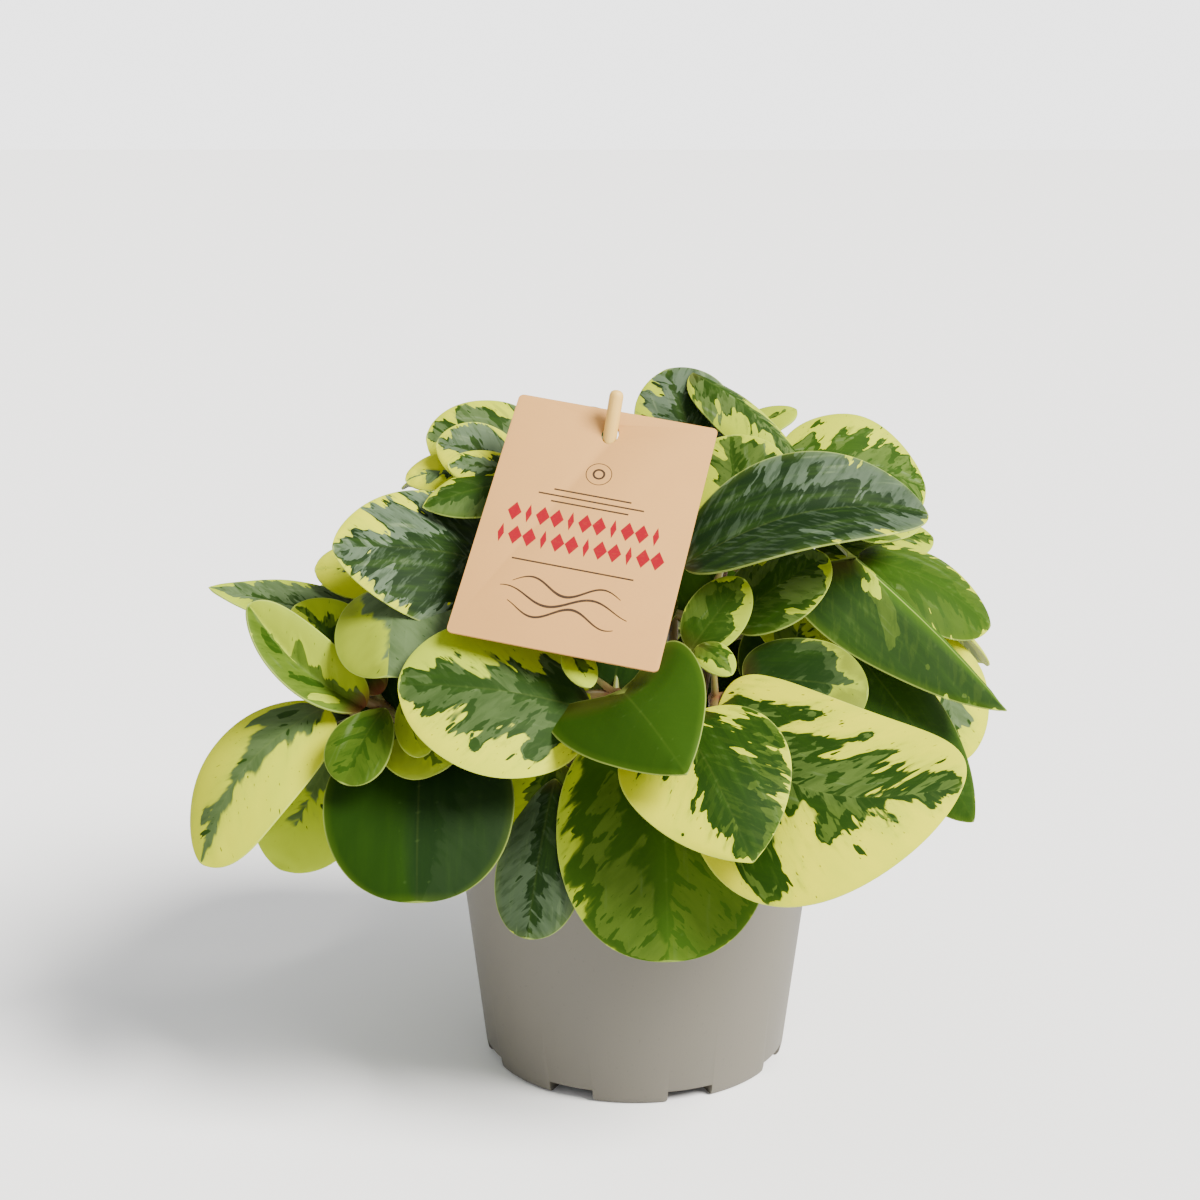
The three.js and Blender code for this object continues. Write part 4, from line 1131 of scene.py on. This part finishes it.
def soil_crumbs(top_radius):
    """Crumbs of peat scattered on the top, copied from one dented ball."""
    draw = random.Random(CRUMB_SEED)
    bpy.ops.mesh.primitive_ico_sphere_add(subdivisions=2, radius=1)
    ball = added("crumb")
    points = coordinates(ball)
    for point in points:
        point *= 1 + 0.45 * noise.noise(Vector(point) * 1.7)
    reshape(ball, points)
    crumbs = []
    for k in range(CRUMB_COUNT):
        crumb = own_copy(ball, f"crumb_{k}")
        reach = (top_radius - 2) * math.sqrt(draw.random())
        turn = draw.uniform(0, 2 * math.pi)
        size = draw.uniform(0.5, 1.5)
        place = Vector((reach * math.cos(turn), reach * math.sin(turn), SOIL_TOP + 0.2 * size))
        spin = Matrix.Rotation(draw.uniform(0, 6), 3, "Z") @ Matrix.Rotation(draw.uniform(0, 6), 3, "X")
        shape = np.array(spin) * np.array([size, size * draw.uniform(0.7, 1), size * draw.uniform(0.6, 0.9)])
        reshape(crumb, (points @ shape.T + np.array(place)) * MM)
        crumbs.append(crumb)
    bpy.data.objects.remove(ball)
    return crumbs


def soil_material():
    """Dark crumbly peat with paler fibres."""
    material, tree, shader = new_material("peat")
    place = object_place(tree)
    clods = grain(place, 5, 0.65, 420)
    base = mix(step(clods, 0.35, 0.7), (0.008, 0.005, 0.0035), (0.035, 0.022, 0.013))
    base, fibre = flecks(place, (1500, 525, 1500), 3, 0.6, 0.62, 0.7, 0.6, base, (0.10, 0.062, 0.03))
    coat(shader, base, 0.95, relief=clods + fibre * 0.4, depth=0.001)
    return material


# Card and stick

def turn_to_stick():
    """The turn from upright to the stick's direction."""
    way = Vector(STICK_TIP) - Vector(STICK_FOOT)
    return Vector((0, 0, 1)).rotation_difference(way).to_matrix().to_4x4()


def stick_place():
    return Matrix.Translation(Vector(STICK_FOOT) * MM) @ turn_to_stick()


def card_place():
    """The card's own plane, with the middle of its hole at the origin."""
    place = Vector(STICK_FOOT).lerp(Vector(STICK_TIP), CARD_CROSSING)
    tilt = Matrix.Rotation(math.pi / 2 - math.radians(CARD_LEAN), 4, "X")
    roll = Matrix.Rotation(-math.radians(CARD_ROLL), 4, "Z")
    return Matrix.Translation(place * MM) @ tilt @ roll


def make_stick():
    """The stick, with a rounded tip."""
    length = (Vector(STICK_TIP) - Vector(STICK_FOOT)).length
    profile = [(STICK_RADIUS - 0.3, 0), (STICK_RADIUS, 0.3)]
    profile += [(STICK_RADIUS, length * k / 12) for k in range(1, 12)]
    profile += [(STICK_RADIUS * share, length - down) for share, down in STICK_END]
    stick = turned("stick_wood", profile, 32)
    stick.data.transform(stick_place())
    stick.data.materials.append(wood_material())
    settle(stick, "stick")


def wood_material():
    """Pale birch: long fine grain along the stick."""
    material, tree, shader = new_material("pale_wood")
    turn = stick_place().to_euler()
    place = new_node(
        tree, "Mapping", {"Vector": object_place(tree), "Rotation": turn}, vector_type="TEXTURE")
    base = mix(grain(place, 2, 0.5, (260, 260, 25)), (0.58, 0.35, 0.06), (0.70, 0.44, 0.10))
    base, along = flecks(place, (1400, 1400, 60), 4, 0.6, 0.52, 0.72, 0.45, base, (0.42, 0.25, 0.085))
    coat(shader, base, 0.6, relief=along, depth=0.0002, strength=0.6)
    return material


def printed(piece, size, x, y):
    """Sizes a piece of print and lays it on the card's front; the place is in the card's plane, in mm."""
    lift = CARD_SIZE[2] / 2 + PRINT_LIFT - PRINT_DEPTH / 2
    piece.data.transform(Matrix.Diagonal((*size, 1)))
    piece.data.transform(Matrix.Translation((x * MM, y * MM, lift * MM)))
    piece.data.transform(card_place())
    return piece


def card_print():
    """Generic print: a ringed dot, rules, two rows of lozenges and a bundle of waves."""
    reds, browns = [], []
    for row, (height, count) in enumerate(LOZENGE_ROWS):
        for k in range(count):
            bpy.ops.mesh.primitive_cylinder_add(vertices=4, radius=1, depth=1)
            half = LOZENGE[0] * (NARROW_LOZENGE if (k + row) % 3 == 1 else 1) / 2
            size = half * MM, LOZENGE[1] / 2 * MM, PRINT_DEPTH * MM
            x = (k - (count - 1) / 2) * LOZENGE_PITCH
            reds.append(printed(added(f"lozenge_{row}_{k}"), size, x, height))
    for height, width in RULES:
        bpy.ops.mesh.primitive_cube_add(size=1)
        browns.append(printed(added("rule"), (width * MM, RULE_WIDTH * MM, PRINT_DEPTH * MM), 0, height))
    for radius, thick in RINGS:
        bpy.ops.mesh.primitive_torus_add(major_segments=40, minor_segments=6, major_radius=radius * MM,
                                         minor_radius=thick / 2 * MM)
        browns.append(printed(added("ring"), (1, 1, PRINT_DEPTH / thick), 0, RING_HEIGHT))
    for k, (height, width) in enumerate(WAVES):
        bpy.ops.mesh.primitive_grid_add(x_subdivisions=64, y_subdivisions=1, size=1)
        wave = added(f"wave_{k}")
        points = coordinates(wave)
        share = points[:, 0] + 0.5
        thick = RULE_WIDTH * (0.5 + 1.2 * np.sin(math.pi * share))
        points[:, 1] = (points[:, 1] * thick + 2.2 * np.sin(2 * math.pi * (1.5 * share + 0.18 * k))) * MM
        points[:, 0] *= width * MM
        reshape(wave, points)
        finish_with(wave, "SOLIDIFY", thickness=PRINT_DEPTH * MM, offset=0)
        browns.append(printed(wave, (1, 1, 1), 0, height))
    prints = [join(reds, "print_red"), join(browns, "print_brown")]
    for piece, name, colour in zip(prints, ("red_ink", "brown_ink"), (RED_INK, BROWN_INK)):
        piece.data.materials.append(ink_material(name, colour))
    return prints


def make_card():
    """The card with rounded corners, punched along the stick, with its print."""
    width, height, thickness = CARD_SIZE
    bpy.ops.mesh.primitive_cube_add(
        size=1, location=(-CARD_HOLE_SHIFT * MM, (CARD_HOLE_DROP - height / 2) * MM, 0))
    card = added("kraft_card")
    card.scale = (width * MM, height * MM, thickness * MM)
    bpy.ops.object.transform_apply()
    with edit_mode(card, "DESELECT"):
        bpy.ops.mesh.select_mode(type="EDGE")
    heights = coordinates(card)[:, 2]
    for line in card.data.edges:
        low, high = heights[list(line.vertices)]
        line.select = bool(abs(low - high) > thickness * MM / 2)
    with edit_mode(card):
        bpy.ops.mesh.bevel(offset=CARD_CORNER * MM, segments=6)
    card.data.transform(card_place())
    bpy.ops.mesh.primitive_cylinder_add(vertices=40, radius=CARD_HOLE_RADIUS * MM, depth=0.02)
    punch = added("punch")
    punch.data.transform(Matrix.Translation(card_place().translation) @ turn_to_stick())
    cut_away(card, punch)
    break_edges(card, 0.12)
    card.data.materials.append(kraft_material())
    settle(join([card, *card_print()], "printed_card"), "card")


def kraft_material():
    """Uncoated kraft board: fine fibres and a slight cloud."""
    material, tree, shader = new_material("kraft_board")
    place = object_place(tree)
    base = mix(grain(place, 3, 0.5, 45), KRAFT, (0.51, 0.26, 0.070))
    base, fibre = flecks(place, FIBRE_STRETCH, 4, 0.65, 0.55, 0.75, 0.3, base, (0.36, 0.18, 0.075))
    coat(shader, base, 0.85, relief=fibre, depth=0.00006, strength=0.6)
    return material


def ink_material(name, colour):
    """Flat ink that lets a little of the board's grain through."""
    material, tree, shader = new_material(name)
    worn, _ = flecks(object_place(tree), FIBRE_STRETCH, 4, 0.65, 0.5, 0.8, 0.12, colour, KRAFT)
    coat(shader, worn, 0.8, 0.08)
    return material


# Floor, light and camera

def make_floor():
    bpy.ops.mesh.primitive_plane_add(size=FLOOR_SIZE)
    floor = added("floor")
    material, _, shader = new_material("pale_floor")
    coat(shader, (0.9, 0.9, 0.9), 0.9)
    floor.data.materials.append(material)


def light_scene():
    """A broad soft key from the right and the front, an even fill, and a pale backdrop."""
    key = bpy.data.lights.new("key", "SUN")
    key.energy = KEY_STRENGTH
    key.angle = math.radians(KEY_SPREAD)
    key.color = KEY_TINT
    put("key", key).rotation_euler = (-Vector(KEY_FROM)).to_track_quat("-Z", "Y").to_euler()

    world = bpy.data.worlds.new("studio")
    world.use_nodes = True
    tree = world.node_tree
    fill = tree.nodes["Background"]
    feed(fill.inputs["Color"], FILL_TINT)
    feed(fill.inputs["Strength"], FILL_STRENGTH)
    backdrop = new_node(tree, "Background", ((1, 1, 1), BACKDROP_STRENGTH))
    seen = new_node(tree, "LightPath", output="Is Camera Ray")
    either = new_node(tree, "MixShader", (seen, Flow(tree, fill.outputs[0]), backdrop))
    feed(tree.nodes["World Output"].inputs[0], either)
    bpy.context.scene.world = world


def place_camera():
    lens = bpy.data.cameras.new("camera")
    lens.sensor_width = SENSOR_WIDTH
    lens.lens = FOCAL_PIXELS / PICTURE_WIDTH * SENSOR_WIDTH
    lens.clip_start = 0.01
    camera = put("camera", lens)
    camera.location = Vector(CAMERA_PLACE) * MM
    turn = math.atan(AXIS_OFFSET_PIXELS / FOCAL_PIXELS)
    camera.rotation_euler = (math.radians(90 - CAMERA_PITCH), 0, turn)
    bpy.context.scene.camera = camera


place_camera()
flecks_group()
make_plants()
make_pot()
make_soil()
make_stick()
make_card()
make_floor()
light_scene()
